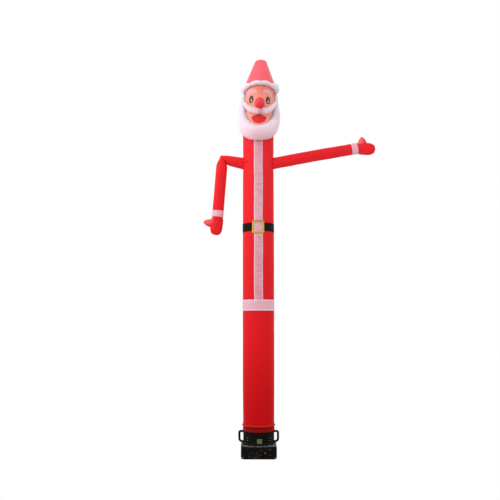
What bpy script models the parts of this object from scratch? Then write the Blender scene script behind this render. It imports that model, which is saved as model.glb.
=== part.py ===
# Inflatable santa: a sewn air dancer about six metres tall, on its own floor blower.
# Metres, +Z up. The origin is the middle of the blower's underside, and the santa faces -Y.

import math

import bmesh
import bpy
from mathutils import Vector

# Gaps and facets
GAP = 0.0003  # between pieces that touch
AROUND = 40  # sides of the tube, drum, head, hat and bands
ARM_SIDES = 20
CORNER_STEPS = 6  # a vertex falls on each corner's middle
SCREW_SIDES = 6

# Blower case
HOUSING_WIDTH = 0.510
HOUSING_HEIGHT = 0.185
HOUSING_CORNER = 0.050
HOUSING_EDGE = 0.012
PANEL_PROUD = 0.005
PANEL_WIDTH = 0.360
PANEL_TOP_WIDTH = 0.270
PANEL_LOW = 0.016
PANEL_SHOULDER = 0.135
PANEL_HIGH = 0.171
RECESS_MIDDLE_X = -0.082
RECESS_WIDTH = 0.150
RECESS_LOW = 0.024
RECESS_HIGH = 0.122
RECESS_DEPTH = 0.012
RIB_COUNT = 4
RIB_THICKNESS = 0.005

# Switch
PLATE_MIDDLE_X = 0.089
PLATE_MIDDLE_Z = 0.094
PLATE_WIDTH = 0.166
PLATE_HEIGHT = 0.090
PLATE_THICKNESS = 0.007
SWITCH_SIZE = 0.033
SWITCH_PROUD = 0.009

# Screw heads
SCREW_RADIUS = 0.006
SCREW_PROUD = 0.003
PLATE_SCREW_INSET = 0.012
FOOT_SCREW_HEIGHT = 0.024
FOOT_SCREW_ANGLES = (60, 120, 240, 300)  # on the corners, facing mostly forward and back
DRUM_SCREW_HEIGHTS = (0.064, 0.103)  # above the case
DRUM_SCREW_ANGLES = (45, 135, 225, 315)

# Air outlet
DRUM_RADIUS = 0.228
DRUM_HEIGHT = 0.275
DRUM_WALL = 0.005
FLANGE_WIDTH = 0.010
FLANGE_THICKNESS = 0.010
FLANGE_SLOPE = 0.024
LIP_WIDTH = 0.0105
LIP_HEIGHT = 0.014

# Handles
HANDLE_THICKNESS = 0.029
HANDLE_DEPTH = 0.034
HANDLE_REACH = 0.069  # from the drum's wall to the bar's outer side
HANDLE_LOW = 0.014  # above the case
HANDLE_BELOW_SKIRT = 0.001  # from the skirt's lower edge to the handle's top
HANDLE_SLANT = 0.045  # height of the slanting lower corner
HANDLE_ROUND = 0.024
HANDLE_SIDES = 10

# Body tube
TUBE_LENGTH = 4.477
TUBE_RADIUS = 0.2375
FOOT_RADIUS = 0.2285
FOOT_BLEND = 0.85  # height over which the foot widens to the tube
FOOT_LEVELS = (0.12, 0.34, 0.72, 1.35, 2.40)
SKIRT_OVERLAP = 0.087
SKIRT_CLEARANCE = 0.0008
SKIRT_THICKNESS = 0.0037
BEAD_HEIGHT = 0.044

# Bands, measured up from the tube's foot
BAND_THICKNESS = 0.0025
HEM_RISE = 1.749
HEM_HEIGHT = 0.161
HEM_THICKNESS = 0.0035
BELT_MIDDLE = 2.994  # the belt and its buckle share this line
BELT_HEIGHT = 0.129
BELT_MARGIN = 0.0010  # beside the placket
PLACKET_WIDTH = 0.132
PLACKET_HIGH = 4.300
BUCKLE_HEIGHT = 0.196
BUCKLE_WIDTH = 0.188
BUCKLE_BAR = 0.033
BUCKLE_THICKNESS = 0.004

# Arms, in the XZ plane through the shoulders
SHOULDER_DROP = 0.465  # below the neck
ARM_DEEP_RADIUS = 0.084
ARM_ROOT = 0.15  # how far the uncut arm starts inside the tube's wall
RIGHT_ARM_DEGREES = 10.4  # above level
RIGHT_LENGTH = 1.218
RIGHT_BOW = 0.005  # how far the arm's middle rises above its straight line
RIGHT_ROOT_RADIUS = 0.085
RIGHT_WRIST_RADIUS = 0.080
RIGHT_CUFF_LENGTH = 0.095
RIGHT_CUFF_RADIUS = 0.083
LEFT_ARM_DEGREES = 10.0
LEFT_ROOT_RADIUS = 0.089
LEFT_ELBOW_RADIUS = 0.075
LEFT_PIVOT_REACH = 0.246  # from the tube's wall to the elbow's inner corner
LEFT_PIVOT_DROP = 0.028
ELBOW_ROUND = 0.010
ELBOW_FAN = ((113, 0.165), (126, 0.180), (159, 0.170))  # degrees and reach of each fold
FOREARM_LEAN = 4.1  # degrees, outwards
FOREARM_LENGTH = 0.690
FOREARM_RADIUS = 0.0835
LEFT_CUFF_LENGTH = 0.108
LEFT_CUFF_RADIUS = 0.085

# Mittens
HAND_LENGTH = 0.276
HAND_HALF_WIDTH = 0.094
HAND_HALF_DEPTH = 0.064
HAND_SQUARENESS = 2.7
HAND_BEND = 0.3  # share of the hand over which it turns from the wrist's line to its own
LEFT_HAND_TURN = 1.6  # degrees from the forearm's line
RIGHT_HAND_TURN = -13.0
LEFT_THUMB_PLACE = 0.108  # along the hand
LEFT_THUMB_LENGTH = 0.208
LEFT_THUMB_HALF_WIDTH = 0.061
LEFT_THUMB_BLUNTNESS = 4.6
LEFT_THUMB_TURN = 94.0  # degrees from the hand's line
RIGHT_THUMB_PLACE = 0.084
RIGHT_THUMB_LENGTH = 0.190
RIGHT_THUMB_HALF_WIDTH = 0.078
RIGHT_THUMB_BLUNTNESS = 2.7
RIGHT_THUMB_TURN = 96.0
THUMB_HALF_DEPTH = 0.046

# Head, measured up from the neck
HEAD_LEAN = 0.0355  # sideways shift for each metre of height
HEAD_TURN = 1.8  # degrees, towards +X
HEAD_HEIGHT = 0.750
HEAD_RADIUS = 0.243
HEAD_END_RADIUS = 0.237
HAT_HEIGHT = 0.427
HAT_BASE_RADIUS = 0.2435
HAT_SHOULDER_RADIUS = 0.0925
HAT_TOP_RADIUS = 0.060
HAT_SHOULDER_HEIGHT = 0.406
BRIM_BELOW_TOP = 0.021  # from the head's top to the brim's middle
BRIM_RADIUS = 0.232
BRIM_HALF_DEPTH = 0.066
BRIM_FRONT_HALF_HEIGHT = 0.056
BRIM_SIDE_HALF_HEIGHT = 0.088
BRIM_LOBES = 10
BRIM_LOBE_SWELL = 0.007
BRIM_STEPS = 50
BRIM_SIDES = 8

# Beard: a puffed roll along a U on the head and the chest
BEARD_MIDDLE = 0.305  # height of the U's centre
BEARD_DROP = 0.360  # from there to the roll's middle at the chin
BEARD_BELOW_TOP = 0.110  # from the head's top to the beard's ends
BEARD_SIDE_ANGLE = 80  # degrees from the front
BEARD_TOP_ANGLE = 86
BEARD_ROLL_RADIUS = 0.247
BEARD_CHIN_HALF_WIDTH = 0.119
BEARD_SIDE_HALF_WIDTH = 0.092
BEARD_TOP_HALF_WIDTH = 0.062
BEARD_CHIN_PUFF = 0.095
BEARD_SIDE_PUFF = 0.083
BEARD_TOP_PUFF = 0.024
BEARD_STEPS = 18  # along the curve below the U's centre
BEARD_END_STEPS = 2  # along each straight end
BEARD_SIDES = 14

# Moustache and nose
MOUSTACHE_MIDDLE = 0.283
MOUSTACHE_ANGLE = 60  # degrees from the front to each tip
MOUSTACHE_RISE = 0.142
MOUSTACHE_RADIUS = 0.262
MOUSTACHE_TIP_RADIUS = 0.292
MOUSTACHE_HALF_HEIGHT = 0.050
MOUSTACHE_TIP_HALF_HEIGHT = 0.020
MOUSTACHE_PINCH = 0.007
MOUSTACHE_PUFF = 0.046
MOUSTACHE_TIP_PUFF = 0.030
MOUSTACHE_STEPS = 14
MOUSTACHE_SIDES = 12
NOSE_MIDDLE = 0.402
NOSE_HALF_HEIGHT = 0.086
NOSE_RADIUS = 0.074
NOSE_PROUD = 0.270  # from the head's axis to the nose's middle
NOSE_POINT = 0.30  # how far the lower half draws in to a point
NOSE_LEVELS = 8
NOSE_SIDES = 16

# Levels worked out from the sizes
drum_top = HOUSING_HEIGHT + DRUM_HEIGHT
tube_foot = drum_top - SKIRT_OVERLAP
neck = tube_foot + TUBE_LENGTH
shoulder = neck - SHOULDER_DROP
facet = 2 * math.pi / AROUND
front = -math.pi / 2


def clear_scene():
    for thing in list(bpy.data.objects):
        bpy.data.objects.remove(thing)


def material(name, color, roughness, metallic=0.0):
    made = bpy.data.materials.new(name)
    made.use_nodes = True
    shader = made.node_tree.nodes["Principled BSDF"]
    shader.inputs["Base Color"].default_value = (*color, 1.0)
    shader.inputs["Roughness"].default_value = roughness
    shader.inputs["Metallic"].default_value = metallic
    return made


def empty(name, location):
    made = bpy.data.objects.new(name, None)
    made.location = location
    bpy.context.collection.objects.link(made)
    return made


def mesh_from(bm, name):
    bmesh.ops.recalc_face_normals(bm, faces=bm.faces)
    mesh = bpy.data.meshes.new(name)
    bm.to_mesh(mesh)
    bm.free()
    mesh.shade_smooth()
    mesh.set_sharp_from_angle(angle=math.radians(35))
    return mesh


def add(name, mesh, look, parent=None, location=(0, 0, 0)):
    made = bpy.data.objects.new(name, mesh)
    made.location = location
    made.parent = parent
    if look:
        mesh.materials.append(look)
    bpy.context.collection.objects.link(made)
    return made


def cutter(name, mesh, parent=None):
    made = add(name, mesh, None, parent)
    made.hide_render = True
    made.display_type = "WIRE"
    return made


def combine(piece, other, operation):
    step = piece.modifiers.new(operation.lower() + " " + other.name, "BOOLEAN")
    step.operation = operation
    step.solver = "EXACT"
    step.object = other


def cut(piece, *cutters):
    for other in cutters:
        combine(piece, other, "DIFFERENCE")


# Shapes

def turned(profile, sides=AROUND, lean=0.0):
    # Spins a profile of (radius, height) points about +Z, starting at the front
    bm = bmesh.new()
    points = [bm.verts.new((0, -radius, height)) for radius, height in profile]
    pairs = list(zip(points, points[1:]))
    if profile[0][0] > 0:
        pairs.append((points[-1], points[0]))
    lines = [bm.edges.new(pair) for pair in pairs]
    bmesh.ops.spin(
        bm, geom=points + lines, cent=(0, 0, 0), axis=(0, 0, 1), angle=2 * math.pi, steps=sides
    )
    bmesh.ops.remove_doubles(bm, verts=bm.verts, dist=1e-5)
    for vertex in bm.verts:
        vertex.co.x += lean * vertex.co.z
    return bm


def loft(rings, joined=False):
    # Skins rings of points in order, with flat ends, or joined end to end
    bm = bmesh.new()
    rows = [[bm.verts.new(point) for point in ring] for ring in rings]
    count = len(rows[0])
    following = rows[1:] + rows[:1] if joined else rows[1:]
    for low, high in zip(rows, following):
        for i in range(count):
            j = (i + 1) % count
            bm.faces.new((low[i], low[j], high[j], high[i]))
    if not joined:
        bm.faces.new(rows[0])
        bm.faces.new(rows[-1])
    return bm


def ring(centre, across, deep, sides):
    # An ellipse: across and deep are its half axes as vectors
    turns = [2 * math.pi * i / sides for i in range(sides)]
    return [centre + across * math.cos(turn) + deep * math.sin(turn) for turn in turns]


def heading(degrees):
    # A direction in the XZ plane, counted from +X towards +Z
    return Vector((math.cos(math.radians(degrees)), 0, math.sin(math.radians(degrees))))


def box(low, high):
    bm = bmesh.new()
    bmesh.ops.create_cube(bm, size=1)
    low, high = Vector(low), Vector(high)
    for vertex in bm.verts:
        vertex.co = (low + high) / 2 + vertex.co * (high - low)
    return bm


def extruded(outline, start, end):
    # Extrudes an outline of (x, z) points along Y
    bm = bmesh.new()
    face = bm.faces.new([bm.verts.new((x, start, z)) for x, z in outline])
    result = bmesh.ops.extrude_face_region(bm, geom=[face])
    for item in result["geom"]:
        if isinstance(item, bmesh.types.BMVert):
            item.co.y = end
    return bm


# Blower

def rounded_square(half, radius, z):
    points = []
    for quarter in range(4):
        middle = math.radians(45 + 90 * quarter)
        corner_x = math.copysign(half - radius, math.cos(middle))
        corner_y = math.copysign(half - radius, math.sin(middle))
        for i in range(CORNER_STEPS + 1):
            turn = math.radians(90 * quarter + 90 * i / CORNER_STEPS)
            points.append((corner_x + radius * math.cos(turn), corner_y + radius * math.sin(turn), z))
    return points


def make_housing(plastic):
    half = HOUSING_WIDTH / 2
    slope = HOUSING_EDGE * (1 - math.sqrt(0.5))
    levels = (
        (HOUSING_EDGE, 0),
        (slope, slope),
        (0, HOUSING_EDGE),
        (0, HOUSING_HEIGHT - HOUSING_EDGE),
        (slope, HOUSING_HEIGHT - slope),
        (HOUSING_EDGE, HOUSING_HEIGHT),
    )
    rings = [rounded_square(half - inset, HOUSING_CORNER - inset, z) for inset, z in levels]
    housing = add("blower_housing", mesh_from(loft(rings), "blower_housing"), plastic)
    outline = (
        (-PANEL_WIDTH / 2, PANEL_LOW),
        (PANEL_WIDTH / 2, PANEL_LOW),
        (PANEL_WIDTH / 2, PANEL_SHOULDER),
        (PANEL_TOP_WIDTH / 2, PANEL_HIGH),
        (-PANEL_TOP_WIDTH / 2, PANEL_HIGH),
        (-PANEL_WIDTH / 2, PANEL_SHOULDER),
    )
    panel_mesh = mesh_from(extruded(outline, -half / 2, -half - PANEL_PROUD), "side_panel")
    for side in range(4):
        panel = cutter("side_panel_%d" % side, panel_mesh)
        panel.rotation_euler.z = math.radians(90 * side)
        combine(housing, panel, "UNION")
    face = -half - PANEL_PROUD
    left = RECESS_MIDDLE_X - RECESS_WIDTH / 2
    right = RECESS_MIDDLE_X + RECESS_WIDTH / 2
    slot_height = (RECESS_HIGH - RECESS_LOW - RIB_THICKNESS * (RIB_COUNT - 1)) / RIB_COUNT
    for i in range(RIB_COUNT):
        low = RECESS_LOW + i * (slot_height + RIB_THICKNESS)
        slot = box((left, face - 0.01, low), (right, face + RECESS_DEPTH, low + slot_height))
        cut(housing, cutter("front_slot_%d" % i, mesh_from(slot, "front_slot")))
    return housing


def lip(grow=0.0, steps=3):
    # The rolled rim's outer half, from its underside to the drum's top, above the case
    middle = DRUM_HEIGHT - LIP_HEIGHT / 2
    turns = [-math.pi / 2 + math.pi * i / steps for i in range(steps + 1)]
    return [
        (
            DRUM_RADIUS + grow + LIP_WIDTH * math.cos(turn),
            middle + (LIP_HEIGHT / 2 + grow) * math.sin(turn),
        )
        for turn in turns
    ]


def flange(grow=0.0):
    # The foot flange's outer half, above the case
    return [
        (DRUM_RADIUS + FLANGE_WIDTH + grow, GAP - grow),
        (DRUM_RADIUS + FLANGE_WIDTH + grow, FLANGE_THICKNESS + grow),
        (DRUM_RADIUS + grow, FLANGE_THICKNESS + FLANGE_SLOPE + grow),
    ]


def make_drum(plastic, case_top):
    # A plain wall, with the flange round its foot and the rolled rim round its top
    inside = DRUM_RADIUS - DRUM_WALL
    wall = [(DRUM_RADIUS, GAP), (DRUM_RADIUS, DRUM_HEIGHT), (inside, DRUM_HEIGHT), (inside, GAP)]
    add("outlet_drum", mesh_from(turned(wall), "outlet_drum"), plastic, case_top)
    clear = DRUM_RADIUS + GAP
    foot = [(clear, GAP), *((max(r, clear), z) for r, z in flange())]
    add("drum_flange", mesh_from(turned(foot), "drum_flange"), plastic, case_top)
    rim = [(max(r, clear), z) for r, z in lip()]
    add("drum_rim", mesh_from(turned(rim), "drum_rim"), plastic, case_top)


def drum_cutter(case_top):
    outside = [*flange(GAP), *lip(GAP)]
    profile = [(0, outside[0][1]), *outside, (0, outside[-1][1])]
    return cutter("drum_space", mesh_from(turned(profile), "drum_space"), case_top)


def handle_path():
    # The bar's middle line as (x, z) points, from the drum round the grip and back
    root = DRUM_RADIUS - HANDLE_THICKNESS
    grip = DRUM_RADIUS + HANDLE_REACH - HANDLE_THICKNESS / 2
    high = DRUM_HEIGHT - SKIRT_OVERLAP - HANDLE_BELOW_SKIRT - HANDLE_THICKNESS / 2
    low = HANDLE_LOW + HANDLE_THICKNESS / 2
    foot = DRUM_RADIUS + HANDLE_REACH / 3
    corners = [(root, high), (grip, high), (grip, low + HANDLE_SLANT), (foot, low), (root, low)]
    path = [Vector(corners[0])]
    for before, corner, after in zip(corners, corners[1:], corners[2:]):
        start = Vector(corner) + (Vector(before) - Vector(corner)).normalized() * HANDLE_ROUND
        end = Vector(corner) + (Vector(after) - Vector(corner)).normalized() * HANDLE_ROUND
        middle = (start + 2 * Vector(corner) + end) / 4
        path += [start, middle, end]
    path.append(Vector(corners[-1]))
    return path


def make_handle(name, side, plastic, case_top, drum_space):
    path = [Vector((side * x, 0, z)) for x, z in handle_path()]
    rings = []
    for i, point in enumerate(path):
        along = (path[min(i + 1, len(path) - 1)] - path[max(i - 1, 0)]).normalized()
        across = along.cross(Vector((0, 1, 0))) * HANDLE_THICKNESS / 2
        rings.append(ring(point, across, Vector((0, HANDLE_DEPTH / 2, 0)), HANDLE_SIDES))
    handle = add(name, mesh_from(loft(rings), name), plastic, case_top)
    cut(handle, drum_space)


def make_screws(steel, case_top):
    profile = (
        (0, GAP),
        (SCREW_RADIUS, GAP),
        (SCREW_RADIUS, SCREW_PROUD / 2),
        (SCREW_RADIUS / 2, SCREW_PROUD),
        (0, SCREW_PROUD),
    )
    mesh = mesh_from(turned(profile, SCREW_SIDES), "screw_head")
    mesh.materials.append(steel)

    def screw(name, place, turn, parent=None):
        head = add(name, mesh, None, parent, place)
        head.rotation_euler = (math.pi / 2, 0, turn + math.pi / 2)

    plate_front = -HOUSING_WIDTH / 2 - PANEL_PROUD - GAP - PLATE_THICKNESS
    across = PLATE_WIDTH / 2 - PLATE_SCREW_INSET
    up = PLATE_HEIGHT / 2 - PLATE_SCREW_INSET
    for i, (x, z) in enumerate(((-across, up), (across, up), (-across, -up), (across, -up))):
        place = (PLATE_MIDDLE_X + x, plate_front, PLATE_MIDDLE_Z + z)
        screw("plate_screw_%d" % (i + 1), place, front)
    corner = HOUSING_WIDTH / 2 - HOUSING_CORNER
    for i, degrees in enumerate(FOOT_SCREW_ANGLES):
        turn = math.radians(degrees)
        x = math.copysign(corner, math.cos(turn)) + HOUSING_CORNER * math.cos(turn)
        y = math.copysign(corner, math.sin(turn)) + HOUSING_CORNER * math.sin(turn)
        screw("foot_screw_%d" % (i + 1), (x, y, FOOT_SCREW_HEIGHT), turn)
    for i, degrees in enumerate(DRUM_SCREW_ANGLES):
        turn = math.radians(degrees)
        for level, height in zip(("low", "high"), DRUM_SCREW_HEIGHTS):
            place = (DRUM_RADIUS * math.cos(turn), DRUM_RADIUS * math.sin(turn), height)
            screw("drum_screw_%s_%d" % (level, i + 1), place, turn, case_top)


def make_switch(plastic, red_plastic):
    back = -HOUSING_WIDTH / 2 - PANEL_PROUD - GAP
    plate_low = (PLATE_MIDDLE_X - PLATE_WIDTH / 2, back - PLATE_THICKNESS, PLATE_MIDDLE_Z - PLATE_HEIGHT / 2)
    plate_high = (PLATE_MIDDLE_X + PLATE_WIDTH / 2, back, PLATE_MIDDLE_Z + PLATE_HEIGHT / 2)
    plate = box(plate_low, plate_high)
    upright = [edge for edge in plate.edges if abs(edge.verts[0].co.y - edge.verts[1].co.y) > GAP]
    bmesh.ops.bevel(
        plate, geom=upright, offset=PLATE_SCREW_INSET, segments=2, profile=0.5, affect="EDGES"
    )
    add("switch_plate", mesh_from(plate, "switch_plate"), plastic)
    base = back - PLATE_THICKNESS - GAP
    half = SWITCH_SIZE / 2
    tilt = SWITCH_PROUD / 4
    # A rocker: its front is a shallow valley, proud at the top
    outline = (
        (base, -half),
        (base, half),
        (base - SWITCH_PROUD, half),
        (base - SWITCH_PROUD / 2, 0),
        (base - SWITCH_PROUD / 2 - tilt, -half),
    )
    rings = [
        [Vector((PLATE_MIDDLE_X + x, y, PLATE_MIDDLE_Z + z)) for y, z in outline] for x in (-half, half)
    ]
    add("power_switch", mesh_from(loft(rings), "power_switch"), red_plastic)


# Body tube and its bands

def swell(height):
    # The tube's radius at a height above the drum's top
    return TUBE_RADIUS - (TUBE_RADIUS - FOOT_RADIUS) * math.exp(-height / FOOT_BLEND)


def tube_outside():
    # From the skirt's lower edge over the bead to the neck, above the tube's foot
    skirt = DRUM_RADIUS + SKIRT_CLEARANCE + SKIRT_THICKNESS
    middle = SKIRT_OVERLAP - LIP_HEIGHT / 2
    profile = [(skirt, 0)]
    for i in range(6):
        share = -1 + 2 * i / 5
        base = skirt + (swell(BEAD_HEIGHT / 2) - skirt) * (share + 1) / 2
        bulge = LIP_WIDTH * math.cos(share * math.pi / 2) ** 2
        profile.append((base + bulge, middle + share * BEAD_HEIGHT / 2))
    for level in FOOT_LEVELS:
        profile.append((swell(level), SKIRT_OVERLAP + level))
    profile.append((TUBE_RADIUS, TUBE_LENGTH))
    return profile


def tube_radius(height):
    # The radius on the straight lines between the profile's points
    points = tube_outside()
    for (r0, z0), (r1, z1) in zip(points, points[1:]):
        if height <= z1:
            return r0 + (r1 - r0) * (height - z0) / (z1 - z0)
    return points[-1][0]


def make_tube(nylon, foot):
    # The skirt is a ring round the drum, up to the level just above its rim where the tube starts
    socket = [(r, z - DRUM_HEIGHT + SKIRT_OVERLAP) for r, z in lip(SKIRT_CLEARANCE)]
    top = SKIRT_OVERLAP + SKIRT_CLEARANCE
    below = [point for point in tube_outside() if point[1] < top]
    outer = [*below, (tube_radius(top), top)]
    profile = [*outer, *reversed(socket), (DRUM_RADIUS + SKIRT_CLEARANCE, 0)]
    add("tube_skirt", mesh_from(turned(profile), "tube_skirt"), nylon, foot)
    start = top + GAP
    above = [point for point in tube_outside() if point[1] > start]
    profile = [(0, start), (tube_radius(start), start), *above, (0, TUBE_LENGTH)]
    add("body_tube", mesh_from(turned(profile), "body_tube"), nylon, foot)


def tube_cutter(foot, extra=0.0):
    # The tube's space, for pieces that are sewn to it; extra leaves room for a band
    grow = GAP + extra
    outside = [(r + grow, z) for r, z in tube_outside()]
    profile = [(0, 0), *outside, (outside[-1][0], TUBE_LENGTH + GAP), (0, TUBE_LENGTH + GAP)]
    name = "tube_space_%d" % round(extra * 1e4)
    return cutter(name, mesh_from(turned(profile), name), foot)


def facet_share(angle):
    # A many-sided ring's radius at an angle, as a share of its corner radius
    past = (angle - front) % facet
    return math.cos(facet / 2) / math.cos(past - facet / 2)


def steps_between(low, high, stops):
    return [low, *[stop for stop in sorted(stops) if low + 1e-6 < stop < high - 1e-6], high]


def band(low, high, half_angle, base, thick_low, thick_high, hole=None):
    # A strip on the tube, from -half_angle to half_angle about the front, or all round.
    # hole is (low, high, half_angle) of an opening in it.
    rows = {low, high} | {z for _, z in tube_outside()}
    corners = [front + facet * i for i in range(-AROUND, AROUND + 1)]
    closed = half_angle >= math.pi
    if hole:
        rows |= {hole[0], hole[1]}
        corners += [front - hole[2], front + hole[2]]
    heights = steps_between(low, high, rows)
    angles = steps_between(front - half_angle, front + half_angle, corners)
    if closed:
        angles = angles[:-1]
    bm = bmesh.new()
    corner = {}
    for i, angle in enumerate(angles):
        for j, z in enumerate(heights):
            thick = thick_low + (thick_high - thick_low) * (z - low) / (high - low)
            for layer, out in enumerate((base, base + thick)):
                reach = (tube_radius(z) + out) * facet_share(angle)
                place = (reach * math.cos(angle), reach * math.sin(angle), z)
                corner[i, j, layer] = bm.verts.new(place)
    columns = len(angles) if closed else len(angles) - 1
    cells = set()
    for i in range(columns):
        middle = (angles[i] + angles[(i + 1) % len(angles)]) / 2 - front
        for j in range(len(heights) - 1):
            height = (heights[j] + heights[j + 1]) / 2
            if not (hole and hole[0] < height < hole[1] and abs(middle) < hole[2]):
                cells.add((i, j))
    for i, j in cells:
        before = (i - 1) % len(angles)
        after = (i + 1) % len(angles)
        around = ((i, j), (after, j), (after, j + 1), (i, j + 1))
        neighbours = ((i, j - 1), (after, j), (i, j + 1), (before, j))
        for layer in (0, 1):
            bm.faces.new([corner[a, b, layer] for a, b in around])
        for (a, b), (c, d), beside in zip(around, around[1:] + around[:1], neighbours):
            if beside not in cells:
                bm.faces.new((corner[a, b, 0], corner[c, d, 0], corner[c, d, 1], corner[a, b, 1]))
    loose = [vertex for vertex in bm.verts if not vertex.link_faces]
    bmesh.ops.delete(bm, geom=loose, context="VERTS")
    return bm


def half_angle_of(width, base):
    return math.asin(width / 2 / (TUBE_RADIUS + base))


def make_bands(white, pink, black, yellow, foot):
    hem_top = HEM_RISE + HEM_HEIGHT
    hem = band(HEM_RISE, hem_top, math.pi, GAP, BAND_THICKNESS, HEM_THICKNESS)
    add("hem_band", mesh_from(hem, "hem_band"), white, foot)
    placket_half = half_angle_of(PLACKET_WIDTH, GAP)
    placket = band(hem_top + GAP, PLACKET_HIGH, placket_half, GAP, BAND_THICKNESS, BAND_THICKNESS)
    add("placket", mesh_from(placket, "placket"), pink, foot)
    # The belt runs round the back, so it is made about the back and turned to face it
    belt_half = math.pi - half_angle_of(PLACKET_WIDTH + 2 * BELT_MARGIN, GAP)
    low = BELT_MIDDLE - BELT_HEIGHT / 2
    belt = band(low, low + BELT_HEIGHT, belt_half, GAP, BAND_THICKNESS, BAND_THICKNESS)
    made = add("belt", mesh_from(belt, "belt"), black, foot)
    made.rotation_euler.z = math.pi
    over = 2 * GAP + BAND_THICKNESS
    low = BELT_MIDDLE - BUCKLE_HEIGHT / 2
    hole = (
        low + BUCKLE_BAR,
        low + BUCKLE_HEIGHT - BUCKLE_BAR,
        half_angle_of(BUCKLE_WIDTH - 2 * BUCKLE_BAR, over),
    )
    buckle = band(
        low,
        low + BUCKLE_HEIGHT,
        half_angle_of(BUCKLE_WIDTH, over),
        over,
        BUCKLE_THICKNESS,
        BUCKLE_THICKNESS,
        hole,
    )
    add("buckle", mesh_from(buckle, "buckle"), yellow, foot)


# Arms, cuffs and mittens

def cross_section(middle, across_degrees, half_across, half_deep):
    return ring(middle, heading(across_degrees) * half_across, Vector((0, half_deep, 0)), ARM_SIDES)


def make_cuff(name, start, direction, length, radius, white, shoulders):
    # A short puffed sleeve end, drawn in at both of its seams
    rings = []
    for share, fullness in ((0, 0.94), (0.18, 1.0), (0.82, 1.0), (1, 0.96)):
        middle = start + heading(direction) * length * share
        rings.append(cross_section(middle, direction + 90, radius * fullness, radius * fullness))
    add(name, mesh_from(loft(rings), name), white, shoulders)
    return start + heading(direction) * length


def tip_share(share, squareness):
    return (1 - share**squareness) ** (1 / squareness)


def make_mitten(name, wrist, direction, wrist_radius, turn, thumb, nylon, shoulders):
    # One sewn mitten: a flattened hand with a round tip, and a thumb that leaves it at an angle
    start = wrist + heading(direction) * GAP
    line = direction + turn
    middle = HAND_LENGTH / 2
    rings = [cross_section(start, direction + 90, wrist_radius, wrist_radius)]
    for share in (0.08, 0.2, 0.45, 0.6, 0.75, 0.88, 0.96, 0.995):
        along = HAND_LENGTH * share
        full = 1.0
        if along > middle:
            full = tip_share((along - middle) / middle, HAND_SQUARENESS)
        near = max(0.0, 1 - share / 0.2) ** 2
        across = HAND_HALF_WIDTH * full + (wrist_radius - HAND_HALF_WIDTH) * near
        deep = HAND_HALF_DEPTH * full + (wrist_radius - HAND_HALF_DEPTH) * near
        facing = direction + turn * min(1.0, share / HAND_BEND) + 90
        rings.append(cross_section(start + heading(line) * along, facing, across, deep))
    mitten = add(name, mesh_from(loft(rings), name), nylon, shoulders)
    place, length, half_width, bluntness, thumb_turn = thumb
    root = start + heading(line) * place
    rings = []
    for share in (0, 0.35, 0.6, 0.8, 0.92, 0.985):
        full = (1 - share**bluntness) ** 0.8
        centre = root + heading(line + thumb_turn) * length * share
        rings.append(
            cross_section(centre, line + thumb_turn + 90, half_width * full, THUMB_HALF_DEPTH * full)
        )
    combine(mitten, cutter(name + "_thumb", mesh_from(loft(rings), name + "_thumb"), shoulders), "UNION")


def make_right_arm(nylon, white, shoulders, tube_space):
    direction = RIGHT_ARM_DEGREES
    root = Vector((TUBE_RADIUS, 0, 0))
    rings = []
    for share in (-ARM_ROOT / RIGHT_LENGTH, 0, 0.25, 0.5, 0.75, 1):
        radius = RIGHT_ROOT_RADIUS + (RIGHT_WRIST_RADIUS - RIGHT_ROOT_RADIUS) * max(share, 0)
        bow = RIGHT_BOW * math.sin(math.pi * max(share, 0))
        middle = root + heading(direction) * RIGHT_LENGTH * share + heading(direction + 90) * bow
        rings.append(cross_section(middle, direction + 90, radius, radius))
    arm = add("arm_right", mesh_from(loft(rings), "arm_right"), nylon, shoulders)
    cut(arm, tube_space)
    wrist = root + heading(direction) * (RIGHT_LENGTH + GAP)
    end = make_cuff(
        "cuff_right", wrist, direction, RIGHT_CUFF_LENGTH, RIGHT_CUFF_RADIUS, white, shoulders
    )
    thumb = (
        RIGHT_THUMB_PLACE,
        RIGHT_THUMB_LENGTH,
        RIGHT_THUMB_HALF_WIDTH,
        RIGHT_THUMB_BLUNTNESS,
        RIGHT_THUMB_TURN,
    )
    wrist_radius = RIGHT_CUFF_RADIUS * 0.96
    make_mitten(
        "mitten_right", end, direction, wrist_radius, RIGHT_HAND_TURN, thumb, nylon, shoulders
    )


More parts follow.
